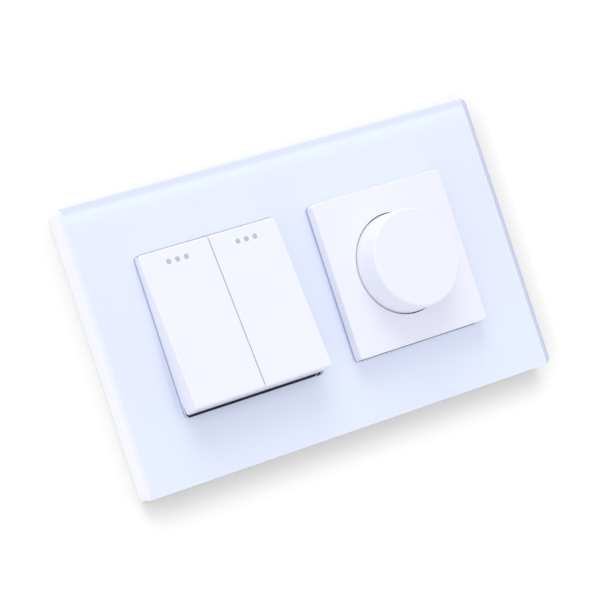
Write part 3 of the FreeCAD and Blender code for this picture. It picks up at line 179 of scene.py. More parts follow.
finishes = {
    "frame_plastic": {"colours": ((0.95, 0.95, 0.955), (0.97, 0.97, 0.975)), "rough": (0.38, 0.48),
        "patch": 0.009, "grain": 0.00022, "relief": 0.000006},
    "key_plastic": {"colours": ((0.900, 0.906, 0.980), (0.906, 0.913, 0.985)), "rough": (0.27, 0.33),
        "patch": 0.020, "grain": 0.00030, "relief": 0.000002},
    "dot_inlay": {"colours": ((0.45, 0.545, 0.55), (0.525, 0.615, 0.63)), "rough": (0.45, 0.55),
        "patch": 0.0006, "grain": 0.00008, "relief": 0.000003},
    "tape": {"colours": ((0.84, 0.85, 0.88), (0.90, 0.91, 0.94)), "rough": (0.75, 0.9),
        "patch": 0.0008, "grain": 0.00020, "relief": 0.000030},
    "dark_plastic": {"colours": ((0.082, 0.098, 0.180), (0.095, 0.112, 0.200)), "rough": (0.45, 0.58),
        "patch": 0.008, "grain": 0.00018, "relief": 0.000008},
    "housing_plastic": {"colours": ((0.70, 0.71, 0.73), (0.75, 0.76, 0.78)), "rough": (0.48, 0.60),
        "patch": 0.010, "grain": 0.00025, "relief": 0.000010},
    "carrier_plastic": {"colours": ((0.62, 0.63, 0.65), (0.68, 0.69, 0.71)), "rough": (0.35, 0.45),
        "patch": 0.006, "grain": 0.00020, "relief": 0.000004},
    "phenolic": {"colours": ((0.20, 0.10, 0.05), (0.30, 0.17, 0.09)), "rough": (0.5, 0.65),
        "patch": 0.0015, "grain": 0.00015, "relief": 0.000008, "stretch": (0.3, 1.0, 1.0)},
    "black_epoxy": {"colours": ((0.020, 0.020, 0.023), (0.034, 0.034, 0.038)), "rough": (0.55, 0.7),
        "patch": 0.002, "grain": 0.00010, "relief": 0.000008},
    "ferrite": {"colours": ((0.045, 0.045, 0.048), (0.075, 0.073, 0.072)), "rough": (0.55, 0.75),
        "patch": 0.0012, "grain": 0.00015, "relief": 0.000015},
    "capacitor_case": {"colours": ((0.36, 0.07, 0.04), (0.45, 0.10, 0.06)), "rough": (0.16, 0.28),
        "patch": 0.004, "grain": 0.0009, "relief": 0.000012},
    "steel_parts": {"colours": ((0.58, 0.585, 0.60), (0.68, 0.685, 0.70)), "rough": (0.20, 0.34),
        "patch": 0.003, "grain": 0.00012, "relief": 0.000003, "metal": 1.0},
    "brass_parts": {"colours": ((0.66, 0.47, 0.19), (0.76, 0.58, 0.27)), "rough": (0.24, 0.38),
        "patch": 0.004, "grain": 0.00010, "relief": 0.000003, "metal": 1.0, "stretch": (1.0, 0.2, 1.0)},
    "silver_contacts": {"colours": ((0.78, 0.78, 0.79), (0.85, 0.85, 0.86)), "rough": (0.22, 0.34),
        "patch": 0.0008, "grain": 0.00008, "relief": 0.000003, "metal": 1.0},
    "sink_aluminium": {"colours": ((0.72, 0.73, 0.74), (0.80, 0.81, 0.82)), "rough": (0.30, 0.44),
        "patch": 0.005, "grain": 0.00012, "relief": 0.000004, "metal": 1.0, "stretch": (0.08, 1.0, 1.0)},
    "copper_wire": {"colours": ((0.55, 0.22, 0.08), (0.66, 0.30, 0.12)), "rough": (0.20, 0.30),
        "patch": 0.002, "grain": 0.00020, "relief": 0.000002, "metal": 1.0, "coat": 0.6},
}
everyFinish = {
    "blend": (0.15, 0.85),      # shares of the noise between which the two colours blend
    "patchDetail": 3.0,
    "levels": {"IOR": 1.46, "Coat Roughness": 0.1},
}


def dress(tree, shader, look, colour, patches, grain, levels=None):
    # colour, uneven roughness and relief, and the levels that are the same everywhere
    feed(tree, shader, {
        "Base Color": colour,
        "Roughness": rangeOf(tree, patches, *look["rough"]),
        "Normal": bumpOf(tree, grain, look["relief"]),
    } | (levels or {}))


def makeFinish(name, look):
    material, tree, shader = startMaterial(name)
    stretch = look.get("stretch", (1.0, 1.0, 1.0))
    patches = noiseOf(tree, look["patch"], everyFinish["patchDetail"], stretch)
    colour = rampOf(tree, patches, tuple(zip(everyFinish["blend"], look["colours"])), "EASE")
    dress(tree, shader, look, colour, patches, noiseOf(tree, look["grain"], stretch=stretch), {
        "Metallic": look.get("metal", 0.0), "Coat Weight": look.get("coat", 0.0), **everyFinish["levels"]})
    return material


materials = {slot: makeFinish(slot + "Finish", look) for slot, look in finishes.items()}


def makeZincSheet():
    # zinc-plated sheet: crystals of a few millimetres with their own tone, under a fine rolling grain
    look = {
        "crystal": 0.0045,
        "tones": ((0.50, 0.51, 0.53), (0.66, 0.67, 0.69)),
        "rough": (0.24, 0.42, 0.0, 1.0),      # over the full range of the crystals' tones
        "grain": 0.00012,
        "rolled": (0.1, 1.0, 1.0),
        "relief": 0.000003,
    }
    material, tree, shader = startMaterial("zincSheet")
    cells = addNode(tree, "ShaderNodeTexVoronoi", {"Vector": objectPlace(tree), "Scale": 1 / look["crystal"]})
    tone = addNode(tree, "ShaderNodeSeparateColor", {"Color": cells.outputs["Color"]})
    colour = rampOf(tree, tone.outputs["Red"], tuple(zip((0.0, 1.0), look["tones"])))
    dress(tree, shader, look, colour, tone.outputs["Green"],
          noiseOf(tree, look["grain"], stretch=look["rolled"]), {"Metallic": 1.0})
    return material


def makeBoardMask():
    # green solder mask with paler runs over the copper, and the weave of the laminate under it
    look = {
        "mask": (0.025, 0.16, 0.07),
        "copper": (0.06, 0.27, 0.12),
        "run": 0.0035,
        "runEdge": (0.34, 0.38),      # where copper ends and mask begins, from the middle of a run
        "uneven": 0.55,
        "weave": 0.0004,
        "relief": 0.000004,
        "patch": 0.004,
        "rough": (0.2, 0.34),
    }
    material, tree, shader = startMaterial("boardMask")
    place = objectPlace(tree)
    runs = addNode(tree, "ShaderNodeTexVoronoi", {
        "Vector": place, "Scale": 1 / look["run"], "Randomness": look["uneven"]}, distance="MANHATTAN")
    weave = addNode(tree, "ShaderNodeTexChecker", {"Vector": place, "Scale": 1 / look["weave"]})
    copperEnd, maskStart = look["runEdge"]
    colour = rampOf(tree, runs.outputs["Distance"], (
        (0.0, look["copper"]), (copperEnd, look["copper"]), (maskStart, look["mask"])))
    dress(tree, shader, look, colour, noiseOf(tree, look["patch"]), weave.outputs["Fac"])
    return material


def makeResistorLacquer():
    # beige lacquer with four rings, read along the axis of the resistors
    look = {
        "lacquer": (0.55, 0.42, 0.26),
        "rings": ((0.16, 0.05, 0.02), (0.01, 0.01, 0.01), (0.45, 0.03, 0.02), (0.55, 0.38, 0.09)),
        "places": (0.18, 0.34, 0.50, 0.76),      # of the rings, as shares of the length
        "width": 0.07,
        "patch": 0.001,
        "rough": (0.3, 0.45),
        "ripple": 0.0006,
        "relief": 0.00001,
    }
    material, tree, shader = startMaterial("resistorLacquer")
    stops = [(0.0, look["lacquer"])]
    for start, ring in zip(look["places"], look["rings"]):
        stops += [(start, ring), (start + look["width"], look["lacquer"])]
    colour = rampOf(tree, alongOf(tree, "X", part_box("board_resistors")), stops, "CONSTANT")
    dress(tree, shader, look, colour, noiseOf(tree, look["patch"]), noiseOf(tree, look["ripple"]))
    return material


def letLightThrough(tree, shader):
    # lamps and soft bounces pass straight through, so that what lies behind is lit
    passing = anyRay(tree, "Is Shadow Ray", "Is Diffuse Ray")
    showMix(tree, "Material Output", passing, shader, addNode(tree, "ShaderNodeBsdfTransparent"))


def makeClearGlass(name, look):
    material, tree, shader = startMaterial(name)
    wave = noiseOf(tree, look["wave"], 1.0)
    dress(tree, shader, look, (*look["colour"], 1), wave, wave, {
        "IOR": look["bend"], "Transmission Weight": 1.0})
    letLightThrough(tree, shader)
    return material


plateGlass = {"colour": (0.97, 0.985, 1.0), "bend": 1.5, "wave": 0.05, "rough": (0.0, 0.02),
              "relief": 0.000002}
tubeGlass = {"colour": (0.95, 0.97, 0.97), "bend": 1.5, "wave": 0.004, "rough": (0.0, 0.04),
             "relief": 0.000002}


def makeBackCoat():
    # the pale blue paint behind the glass, with a painted dark band under the rounded top edge and a painted
    # highlight fading out below it, both standing in for light through that edge; its tone shifts slightly
    # from foot to head
    look = {
        # the edge colour is a painted dark band, the one after it a painted highlight
        "edge": (0.745, 0.800, 0.985),
        "glint": (0.890, 0.950, 1.0),
        "head": (0.845, 0.886, 1.0),
        "middle": (0.833, 0.868, 1.0),
        "foot": (0.838, 0.890, 1.0),
        "drops": (0.0010, 0.0022, 0.0075),      # from the top edge to the ends of the painted dark band, the painted highlight and its fade
        "patch": 0.02,
        "rough": (0.4, 0.5),
        "grain": 0.0004,
        "relief": 0.000002,
    }
    low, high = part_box("glass_back_film")
    band, glint, fade = [1 - drop / (high.z - low.z) for drop in look["drops"]]
    material, tree, shader = startMaterial("backCoat")
    # painted light by height: the highlight and the dark band are stops near the top of the ramp
    colour = rampOf(tree, alongOf(tree, "Z", (low, high)), (
        (0.0, look["foot"]), (0.5, look["middle"]), (fade, look["head"]), (glint, look["glint"]),
        (band, look["edge"])))
    dress(tree, shader, look, colour, noiseOf(tree, look["patch"]), noiseOf(tree, look["grain"]))
    return material


# The ground edges of the glass: colours by their share of its thickness, from the front. All of them are
# painted light and shade: the left edge painted pale as if lit, the right edge painted darker as if shaded, a
# painted dark line inside the window walls, and a near black painted shadow in the lower right corner of the
# keys' window

groundEdgePaintedLight = {
    "left": ((0.0, (0.84, 0.88, 1.0)), (0.18, (0.90, 0.93, 1.0)), (0.55, (0.96, 0.97, 1.0)),
             (1.0, (0.97, 0.975, 0.985))),
    "right": ((0.0, (0.52, 0.56, 0.70)), (0.16, (0.56, 0.60, 0.74)), (0.5, (0.70, 0.74, 0.86)),
              (1.0, (0.78, 0.81, 0.90))),
    "window": ((0.0, (0.80, 0.84, 0.96)), (0.28, (0.76, 0.81, 0.95)), (0.38, (0.26, 0.31, 0.44)),
               (0.52, (0.30, 0.35, 0.48)), (0.64, (0.70, 0.76, 0.92)), (1.0, (0.82, 0.87, 1.0))),
    "corner": ((0.0, (0.80, 0.85, 1.0)), (0.46, (0.78, 0.83, 1.0)), (0.56, (0.06, 0.07, 0.14)),
               (1.0, (0.05, 0.06, 0.12))),
}
beltMarks = {"width": 0.0001, "stretch": (1.0, 0.15, 1.0), "rough": (0.55, 0.70), "relief": 0.000008}


def makeGroundEdge(name, tones, marks):
    # the matt surface that a grinding belt leaves, coloured with the painted light and shade of the given
    # tones
    material, tree, shader = startMaterial(name)
    scratches = noiseOf(tree, marks["width"], stretch=marks["stretch"])
    colour = rampOf(tree, alongOf(tree, "Y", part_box("glass_panel")), tones)
    dress(tree, shader, marks, colour, scratches, scratches)
    letLightThrough(tree, shader)
    return material


for place, tones in groundEdgePaintedLight.items():
    materials["ground_" + place] = makeGroundEdge("ground" + place.capitalize(), tones, beltMarks)
materials["zinc_steel"] = makeZincSheet()
materials["board_laminate"] = makeBoardMask()
materials["resistor_body"] = makeResistorLacquer()
materials["clear_glass"] = makeClearGlass("plateGlass", plateGlass)
materials["fuse_glass"] = makeClearGlass("tubeGlass", tubeGlass)
materials["white_film"] = makeBackCoat()
for name, node in nodes.items():
    for slot in node.material_slots:
        slot.material = materials[slotOf[name]]
print("finishes made:", len(materials))


# Small tools for meshes: outlines in the XZ plane, stacked along Y

weldDistance = 1e-7
cadWeld = 1e-6                      # for the CAD meshes
sharpFrom = math.radians(35)        # edges that fold more than this stay crisp
cornerSteps = 6


def roundedOutline(xLow, xHigh, zLow, zHigh, radii, steps=cornerSteps):
    # anticlockwise seen from the room; radii from the bottom left corner round to the top left one
    corners = ((xLow, zLow, 1, 1, 180), (xHigh, zLow, -1, 1, 270),
               (xHigh, zHigh, -1, -1, 0), (xLow, zHigh, 1, -1, 90))
    points = []
    for (x, z, inX, inZ, start), radius in zip(corners, radii):
        for step in range(steps + 1):
            turn = math.radians(start + 90 * step / steps)
            points.append((x + inX * radius + radius * math.cos(turn),
                           z + inZ * radius + radius * math.sin(turn)))
    return points


def roundOutline(x, z, radius, steps):
    return [(x + radius * math.cos(2 * math.pi * i / steps), z + radius * math.sin(2 * math.pi * i / steps))
            for i in range(steps)]


def addLoop(mesh, outline, y):
    return [mesh.verts.new((x, y, z)) for x, z in outline]


def joinLoops(mesh, first, second):
    for i in range(len(first)):
        j = (i + 1) % len(first)
        mesh.faces.new((first[i], first[j], second[j], second[i]))


def stackLoops(mesh, outlines):
    loops = [addLoop(mesh, outline, y) for outline, y in outlines]
    for first, second in zip(loops, loops[1:]):
        joinLoops(mesh, first, second)
    return loops[0], loops[-1]


def fillBetween(mesh, loops):
    edges = [mesh.edges.get((loop[i - 1], loop[i])) or mesh.edges.new((loop[i - 1], loop[i]))
             for loop in loops for i in range(len(loop))]
    bmesh.ops.triangle_fill(mesh, edges=edges, use_beauty=True)


def stackWithHoles(mesh, outer, holes):
    # a plate from the outlines of its rim and those of each of its holes, filled at both faces
    ends = [stackLoops(mesh, outlines) for outlines in (outer, *holes)]
    for loops in zip(*ends):
        fillBetween(mesh, loops)


def drawnIn(radius, depth):
    # how far a rounded edge has drawn the outline in, at a depth below the face
    return 0.0 if depth >= radius else radius - math.sqrt(radius ** 2 - (radius - depth) ** 2)


def depthsOf(radii, steps):
    # depths below the face at which the outline is drawn, for edges of several radii
    return sorted({round(radius * (1 - math.cos(math.pi / 2 * i / steps)), 9) for radius in radii
                   for i in range(steps + 1)})


def storeMesh(name, mesh):
    data = bpy.data.meshes.new(name)
    mesh.to_mesh(data)
    mesh.free()
    return data


def makePiece(name, mesh, body, replaced, *others):
    # it wears the finish of its slot; others are finishes for the faces with index 1 and up
    bmesh.ops.remove_doubles(mesh, verts=mesh.verts, dist=weldDistance)
    bmesh.ops.recalc_face_normals(mesh, faces=mesh.faces)
    data = storeMesh(name, mesh)
    for slot in (slotOf[replaced], *others):
        data.materials.append(materials[slot])
    data.shade_smooth()
    data.set_sharp_from_angle(angle=sharpFrom)
    piece = addObject(name, data)
    weighted = piece.modifiers.new("evenShading", "WEIGHTED_NORMAL")
    weighted.keep_sharp = True
    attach(piece, body)
    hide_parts(replaced)
    return piece


# Glass plate and the coat behind it

glassPlate = {
    "longRound": 0.0020,      # front edges along the top and the bottom
    "endRound": 0.0006,
    "roundSteps": 9,
    "planCorner": 0.0010,
    "seam": 0.00014,          # ground seam round the windows and the back
    "windowSize": 0.0485,
    "windowDrop": 0.00012,    # by which the windows sit low on the pieces in them
    "windowCorner": 0.0015,
    "windowSteps": 8,
    "windowPitch": 0.0603,
    "coatContact": 0.00003,   # of the coat's front inside the glass, so that no air shows between the two
}


def windowOutline(look, side, grown=0.0):
    centre = side * look["windowPitch"] / 2
    half, drop = look["windowSize"] / 2 + grown, look["windowDrop"]
    corner = look["windowCorner"] + grown
    return roundedOutline(centre - half, centre + half, -half - drop, half - drop, [corner] * 4,
                          look["windowSteps"])


def makeGlass(look):
    low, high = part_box("glass_panel")
    front, back, seam = low.y, high.y, look["seam"]
    thick = back - front

    def outline(depth):
        onBack = drawnIn(seam, thick - depth)
        inX = max(drawnIn(look["endRound"], depth), onBack)
        inZ = max(drawnIn(look["longRound"], depth), onBack)
        return roundedOutline(low.x + inX, high.x - inX, low.z + inZ, high.z - inZ, [look["planCorner"]] * 4)

    depths = depthsOf((look["longRound"], look["endRound"]), look["roundSteps"])
    depths += [thick - seam, thick - seam / 2, thick]
    mesh = bmesh.new()
    stackWithHoles(mesh, [(outline(depth), front + depth) for depth in depths], [[
        (windowOutline(look, side, seam), front),
        (windowOutline(look, side), front + seam),
        (windowOutline(look, side), back - seam),
        (windowOutline(look, side, seam), back),
    ] for side in (-1, 1)])

    finishOrder = (slotOf["glass_panel"], "ground_left", "ground_right", "ground_window", "ground_corner")
    windowReach = look["windowSize"] / 2 + seam + look["windowDrop"]
    straight = look["windowSize"] / 2 - look["windowCorner"]

    def finishAt(middle):
        # the walls of a window differ, because each of them meets another light, and each takes the painted
        # light or shade of a ground edge finish
        across = middle.x - math.copysign(look["windowPitch"] / 2, middle.x)
        if not front < middle.y < back:
            return finishOrder[0]
        if middle.x < low.x + look["endRound"]:
            return "ground_left"
        if middle.x > high.x - look["endRound"]:
            return "ground_right"
        if abs(across) > windowReach or abs(middle.z) > windowReach:
            return finishOrder[0]
        overKeys = middle.x < 0
        if across > straight:
            return "ground_corner" if overKeys and middle.z < -straight else "ground_left"
        topWall = middle.z > straight and across > -straight
        return "ground_right" if overKeys and topWall else "ground_window"

    for face in mesh.faces:
        face.material_index = finishOrder.index(finishAt(face.calc_center_median()))
    makePiece("glassPlate", mesh, "plate", "glass_panel", *finishOrder[1:])


def makeCoat(look):
    low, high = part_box("glass_back_film")
    rim = roundedOutline(low.x, high.x, low.z, high.z, [look["planCorner"]] * 4)
    rim, *windows = [[(outline, low.y - look["coatContact"]), (outline, high.y)]
                     for outline in (rim, windowOutline(look, -1), windowOutline(look, 1))]
    mesh = bmesh.new()
    stackWithHoles(mesh, rim, windows)
    makePiece("backCoat", mesh, "plate", "glass_back_film")


makeGlass(glassPlate)
makeCoat(glassPlate)
print("glass plate made")


# Rocker keys: hollow shells with a round edge everywhere but along the split

rockerKey = {
    "width": 0.02365,
    "height": 0.0470,
    "faceOffset": 0.0055,      # of the face from the pivot
    "backOffset": -0.0015,     # of the rim from the pivot
    "ceiling": 0.0037,
    "wall": 0.0014,
    "corner": 0.0009,
    "edge": 0.00065,
    "splitEdge": 0.00012,
    "edgeSteps": 7,
    "tilt": math.radians(6.5),
    "pivotLevel": -0.0062,
    "gangs": {"left": (-0.042125, -1), "right": (-0.018175, 1)},      # centre, and side away from the split
    "dotRow": 0.0195,
    "dotSpacing": 0.0030,
    "dotRadius": 0.0008,
    "dotDepth": 0.0005,
    "pitEdge": 0.00006,
    "pitSteps": 32,
    "hookRow": 0.0137,
    "hookSize": (0.0080, 0.0012),
    "hookReach": 0.0017,
    "hookEdge": 0.0001,
    "rooted": 0.0002,          # of each hook in the ceiling
    "barbLevel": 0.0026,
    "barbShift": 0.0007,       # towards the middle of the key
}


def onPivot(gangX, look):
    # from a key's own frame, with its pivot at the origin, to its place at rest
    return Matrix.Translation((gangX, look["pivotLevel"], 0)) @ Matrix.Rotation(-look["tilt"], 4, "X")


def addBlock(mesh, middle, size, ys, edge, steps=3):
    # a closed block with a small round at both of its ends in depth; middle and size are on X and Z
    def outline(inset):
        (xLow, xHigh), (zLow, zHigh) = ((at - width / 2 + inset, at + width / 2 - inset)
                                        for at, width in zip(middle, size))
        return roundedOutline(xLow, xHigh, zLow, zHigh, [edge] * 4, steps)

    for end in stackLoops(mesh, [(outline(edge), ys[0]), (outline(0), ys[0] + edge),
                                 (outline(0), ys[1] - edge), (outline(edge), ys[1])]):
        mesh.faces.new(end)


def makeKey(side, look):
    gangX, outer = look["gangs"][side]
    half, tall = look["width"] / 2, look["height"] / 2

    def outline(inset, splitInset):
        xLow, xHigh = (inset, splitInset) if outer < 0 else (splitInset, inset)
        round_, square = look["corner"] - inset / 2, look["splitEdge"]
        radii = (round_, square, square, round_) if outer < 0 else (square, round_, round_, square)
        return roundedOutline(-half + xLow, half - xHigh, -tall + inset, tall - inset, radii)

    def inner(inset):
        wall = look["wall"] - inset
        return roundedOutline(-half + wall, half - wall, -tall + wall, tall - wall, [look["corner"] / 2] * 4)

    face, rim = -look["faceOffset"], -look["backOffset"]
    edge, splitEdge, pitEdge = look["edge"], look["splitEdge"], look["pitEdge"]
    mesh = bmesh.new()
    stack = [(outline(drawnIn(edge, depth), drawnIn(splitEdge, depth)), face + depth)
             for depth in depthsOf((edge, splitEdge), look["edgeSteps"])]
    stack += [(outline(0, 0), rim - splitEdge), (outline(splitEdge, splitEdge), rim)]
    faceLoop, outerRim = stackLoops(mesh, stack)
    innerRim, ceiling = stackLoops(mesh, [(inner(splitEdge), rim), (inner(0), rim - splitEdge),
                                          (inner(0), -look["ceiling"])])
    mesh.faces.new(ceiling)
    fillBetween(mesh, [outerRim, innerRim])
    pits = []
    for i in (-1, 0, 1):
        wide, narrow = [roundOutline(i * look["dotSpacing"], look["dotRow"], look["dotRadius"] + grown,
                                     look["pitSteps"]) for grown in (pitEdge, 0)]
        top, floor = stackLoops(mesh, [(wide, face), (narrow, face + pitEdge),
                                       (narrow, face + look["dotDepth"])])
        mesh.faces.new(floor)
        pits.append(top)
    fillBetween(mesh, [faceLoop] + pits)
    for sign in (-1, 1):
        row = sign * look["hookRow"]
        addBlock(mesh, (0, row), look["hookSize"], (-look["ceiling"] - look["rooted"], -look["hookReach"]),
                 look["hookEdge"])
        addBlock(mesh, (0, row - sign * look["barbShift"]), look["hookSize"],
                 (-look["barbLevel"], -look["hookReach"]), look["hookEdge"])
    bmesh.ops.transform(mesh, matrix=onPivot(gangX, look), verts=mesh.verts)
    makePiece(side + "Key", mesh, side + "_key", "rocker_" + side)


for side in rockerKey["gangs"]:
    makeKey(side, rockerKey)
print("rocker keys made")


# Dimmer cover: a square cap with a round well

dimmerCover = {
    "corner": 0.0012,
    "edge": 0.0004,
    "edgeSteps": 6,
    "wall": 0.0015,
    "skin": 0.0016,
    "centre": 0.03015,
    "wellRadius": 0.0156,
    "wellLip": 0.00015,
    "lipBend": 0.3,            # share of the lip at which it turns down
    "wellDepth": 0.0043,
    "wellFloor": 0.0012,
    "eyeRadius": 0.0067,
    "roundSteps": 96,
    "rimLevel": -0.0026,
    "legWidth": 0.0060,
    "legRow": 0.0216,
    "legEdge": 0.0001,
    "rooted": 0.0002,          # of each leg in the ceiling
}


def makeCover(look):
    low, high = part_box("dimmer_cover")
    front, rim, x = low.y, look["rimLevel"], look["centre"]
    lip, wall, ceiling = look["wellLip"], look["wall"], front + look["skin"]
    floor = front + look["wellDepth"]
    under = floor + look["wellFloor"]

    def square(inset, corner=look["corner"]):
        return roundedOutline(low.x + inset, high.x - inset, low.z + inset, high.z - inset, [corner] * 4)

    def ring(radius):
        return roundOutline(x, 0, radius, look["roundSteps"])

    mesh = bmesh.new()
    stack = [(square(drawnIn(look["edge"], depth)), front + depth)
             for depth in depthsOf((look["edge"],), look["edgeSteps"])]
    frontLoop, outerRim = stackLoops(mesh, stack + [(square(0), rim - lip), (square(lip), rim)])
    innerRim, ceilingLoop = stackLoops(mesh, [
        (square(wall - lip, look["corner"] / 2), rim),
        (square(wall, look["corner"] / 2), rim - lip),
        (square(wall, look["corner"] / 2), ceiling),
    ])
    fillBetween(mesh, [outerRim, innerRim])
    well, eye, bend = look["wellRadius"], look["eyeRadius"], lip * look["lipBend"]
    wellLoop, eyeLoop = stackLoops(mesh, [(ring(radius), y) for radius, y in (
        (well + lip, front),
        (well + bend, front + bend),
        (well, front + lip),
        (well, floor),
        (eye, floor),
        (eye, under),
        (well + wall - lip, under),
        (well + wall, under - lip),
        (well + wall, ceiling),
    )])
    fillBetween(mesh, [frontLoop, wellLoop])
    fillBetween(mesh, [ceilingLoop, eyeLoop])
    for sign in (-1, 1):
        addBlock(mesh, (x, sign * look["legRow"]), (look["legWidth"], wall),
                 (ceiling - look["rooted"], high.y), look["legEdge"])
    makePiece("dimmerCover", mesh, "plate", "dimmer_cover")


makeCover(dimmerCover)
print("dimmer cover made")


# Turned pieces with Geometry Nodes: a profile of radius and depth, spun at every place

def roundedProfile(corners, steps=5):
    # corners are (radius, depth, round); the result is a line with those rounds drawn as arcs
    line = []
    for i, (radius, depth, bend) in enumerate(corners):
        here = Vector((radius, depth))
        if bend == 0 or i in (0, len(corners) - 1):
            line.append(here)
            continue
        before = (Vector(corners[i - 1][:2]) - here).normalized()
        after = (Vector(corners[i + 1][:2]) - here).normalized()
        angle = before.angle(after)
        start = here + before * bend / math.tan(angle / 2)
        end = here + after * bend / math.tan(angle / 2)
        centre = here + (before + after).normalized() * bend / math.sin(angle / 2)
        first, last = (start - centre).normalized(), (end - centre).normalized()
        line += [centre + first.slerp(last, step / steps) * bend for step in range(steps + 1)]
    return line


def startTree(name, sizes):
    tree = bpy.data.node_groups.new(name, "GeometryNodeTree")
    tree.interface.new_socket("Geometry", in_out="INPUT", socket_type="NodeSocketGeometry")
    for label, kind in sizes.items():
        tree.interface.new_socket(label, in_out="INPUT", socket_type="NodeSocket" + kind)
    tree.interface.new_socket("Geometry", in_out="OUTPUT", socket_type="NodeSocketGeometry")
    return tree, tree.nodes.new("NodeGroupInput").outputs, tree.nodes.new("NodeGroupOutput")


def chain(tree, source, *steps):
    # links one geometry through a row of nodes, and gives the last output
    for step in steps:
        tree.links.new(source, step.inputs[0])
        source = step.outputs[0]
    return source


def endTree(tree, given, result, spread):
    # puts what spread holds on the given points, as one real mesh with its material
    real = addNode(tree, "GeometryNodeRealizeInstances")
    finish = addNode(tree, "GeometryNodeSetMaterial", {"Material": given["Material"]})
    feed(tree, result, {"Geometry": chain(tree, given["Geometry"], spread, real, finish)})


spunShape = {"Profile": "Object", "Steps": "Int"}
cutShape = {"Slot Length": "Float", "Slot Depth": "Float", "Slot Width": "Float", "Slot Level": "Float"}


def makeSpinTree():
    # bends a grid round the Y axis, so that each of its columns is the profile
    tree, given, result = startTree("spinProfile", spunShape)
    profile = addNode(tree, "GeometryNodeObjectInfo", {"Object": given["Profile"]}).outputs["Geometry"]
    count = addNode(tree, "GeometryNodeAttributeDomainSize", {"Geometry": profile}).outputs["Point Count"]
    grid = addNode(tree, "GeometryNodeMeshGrid", {
        "Vertices X": mathOf(tree, "ADD", given["Steps"], 1), "Vertices Y": count})
    index = addNode(tree, "GeometryNodeInputIndex").outputs["Index"]
    column = mathOf(tree, "FLOOR", mathOf(tree, "DIVIDE", index, count))
    turn = mathOf(tree, "MULTIPLY", mathOf(tree, "DIVIDE", column, given["Steps"]), 2 * math.pi)
    sample = addNode(tree, "GeometryNodeSampleIndex", {
        "Geometry": profile,
        "Value": addNode(tree, "GeometryNodeInputPosition").outputs[0],
        "Index": mathOf(tree, "MODULO", index, count),
    }, data_type="FLOAT_VECTOR", domain="POINT")
    point = addNode(tree, "ShaderNodeSeparateXYZ", {0: sample.outputs[0]}).outputs
    spun = addNode(tree, "ShaderNodeCombineXYZ", {
        "X": mathOf(tree, "MULTIPLY", point["X"], mathOf(tree, "COSINE", turn)),
        "Y": point["Y"],
        "Z": mathOf(tree, "MULTIPLY", point["X"], mathOf(tree, "SINE", turn)),
    })
    bend = addNode(tree, "GeometryNodeSetPosition", {"Position": spun.outputs[0]})
    weld = addNode(tree, "GeometryNodeMergeByDistance", {"Distance": weldDistance})
    feed(tree, result, {"Geometry": chain(tree, grid.outputs["Mesh"], bend, weld)})
    return tree


def placesTree(name, sizes, buildPiece):
    # instances of one piece on the given points, each with its own turn about the depth axis
    tree, given, result = startTree(name, sizes | {"Turn": "Vector", "Loose Turn": "Float", "Seed": "Int",
                                                   "Material": "Material"})
    piece = buildPiece(tree, given)
    loose = addNode(tree, "FunctionNodeRandomValue", {3: given["Loose Turn"], "Seed": given["Seed"]},
                    data_type="FLOAT")
    about = addNode(tree, "ShaderNodeCombineXYZ", {"Y": loose.outputs[1]})
    whole = addNode(tree, "ShaderNodeVectorMath", {0: about.outputs[0], 1: given["Turn"]}, operation="ADD")
    endTree(tree, given, result, addNode(tree, "GeometryNodeInstanceOnPoints", {
        "Instance": piece, "Rotation": whole.outputs[0]}))
    return tree


def spunPiece(tree, given):
    return addNode(tree, "GeometryNodeGroup", {label: given[label] for label in spunShape},
                   node_tree=spinProfile).outputs["Geometry"]


def slottedPiece(tree, given):
    # the slot is cut across the head, at the end of the profile that faces +Y or -Y
    across = addNode(tree, "ShaderNodeCombineXYZ", {
        "X": given["Slot Length"], "Y": given["Slot Depth"], "Z": given["Slot Width"]})
    cutter = addNode(tree, "GeometryNodeMeshCube", {"Size": across.outputs[0]})
    level = addNode(tree, "ShaderNodeCombineXYZ", {"Y": given["Slot Level"]})
    move = addNode(tree, "GeometryNodeTransform", {
        "Geometry": cutter.outputs["Mesh"], "Translation": level.outputs[0]})
    cut = addNode(tree, "GeometryNodeMeshBoolean", {0: spunPiece(tree, given), 1: move.outputs[0]},
                  operation="DIFFERENCE", solver="EXACT")
    return cut.outputs["Mesh"]


def pointsObject(name, points, edges=()):
    data = bpy.data.meshes.new(name)
    data.from_pydata(points, edges, [])
    return addObject(name, data)


def grow(name, tree, places, sizes, body, replaced):
    # runs the tree on the places, and keeps the result as a plain mesh
    holder = pointsObject(name + "Places", places)
    helpers = [holder]
    run = holder.modifiers.new(tree.name, "NODES")
    run.node_group = tree
    sizes = sizes | {"Material": materials[slotOf[replaced]]}
    if "Profile" in sizes:
        line = [(radius, depth, 0) for radius, depth in sizes["Profile"]]
        sizes["Profile"] = pointsObject(name + "Profile", line, [(i, i + 1) for i in range(len(line) - 1)])
        helpers.append(sizes["Profile"])
    for socket in tree.interface.items_tree:
        if socket.in_out == "INPUT" and socket.name in sizes:
            run[socket.identifier] = sizes[socket.name]
    bpy.context.view_layer.update()
    grown = bpy.data.meshes.new_from_object(holder.evaluated_get(bpy.context.evaluated_depsgraph_get()))
    mesh = bmesh.new()
    mesh.from_mesh(grown)
    bpy.data.meshes.remove(grown)
    for helper in helpers:
        bpy.data.objects.remove(helper)
    makePiece(name, mesh, body, replaced)


spinProfile = makeSpinTree()
turnedPieces = placesTree("turnedPieces", spunShape, spunPiece)
slottedScrews = placesTree("slottedScrews", spunShape | cutShape, slottedPiece)


# Dimmer knob

dimmerKnob = {
    "centre": 0.03015,
    "topRadius": 0.0150,
    "baseRadius": 0.0153,
    "topEdge": 0.0007,
    "rimEdge": 0.0002,
    "edgeSteps": 8,
    "roundSteps": 128,
    "wall": 0.0016,
    "skin": 0.0018,
    "coverLevel": -0.0100,
    "hubRadius": 0.0052,
    "boreRadius": 0.00305,
    "boreDepth": 0.00315,      # of the bore's end below the top
}


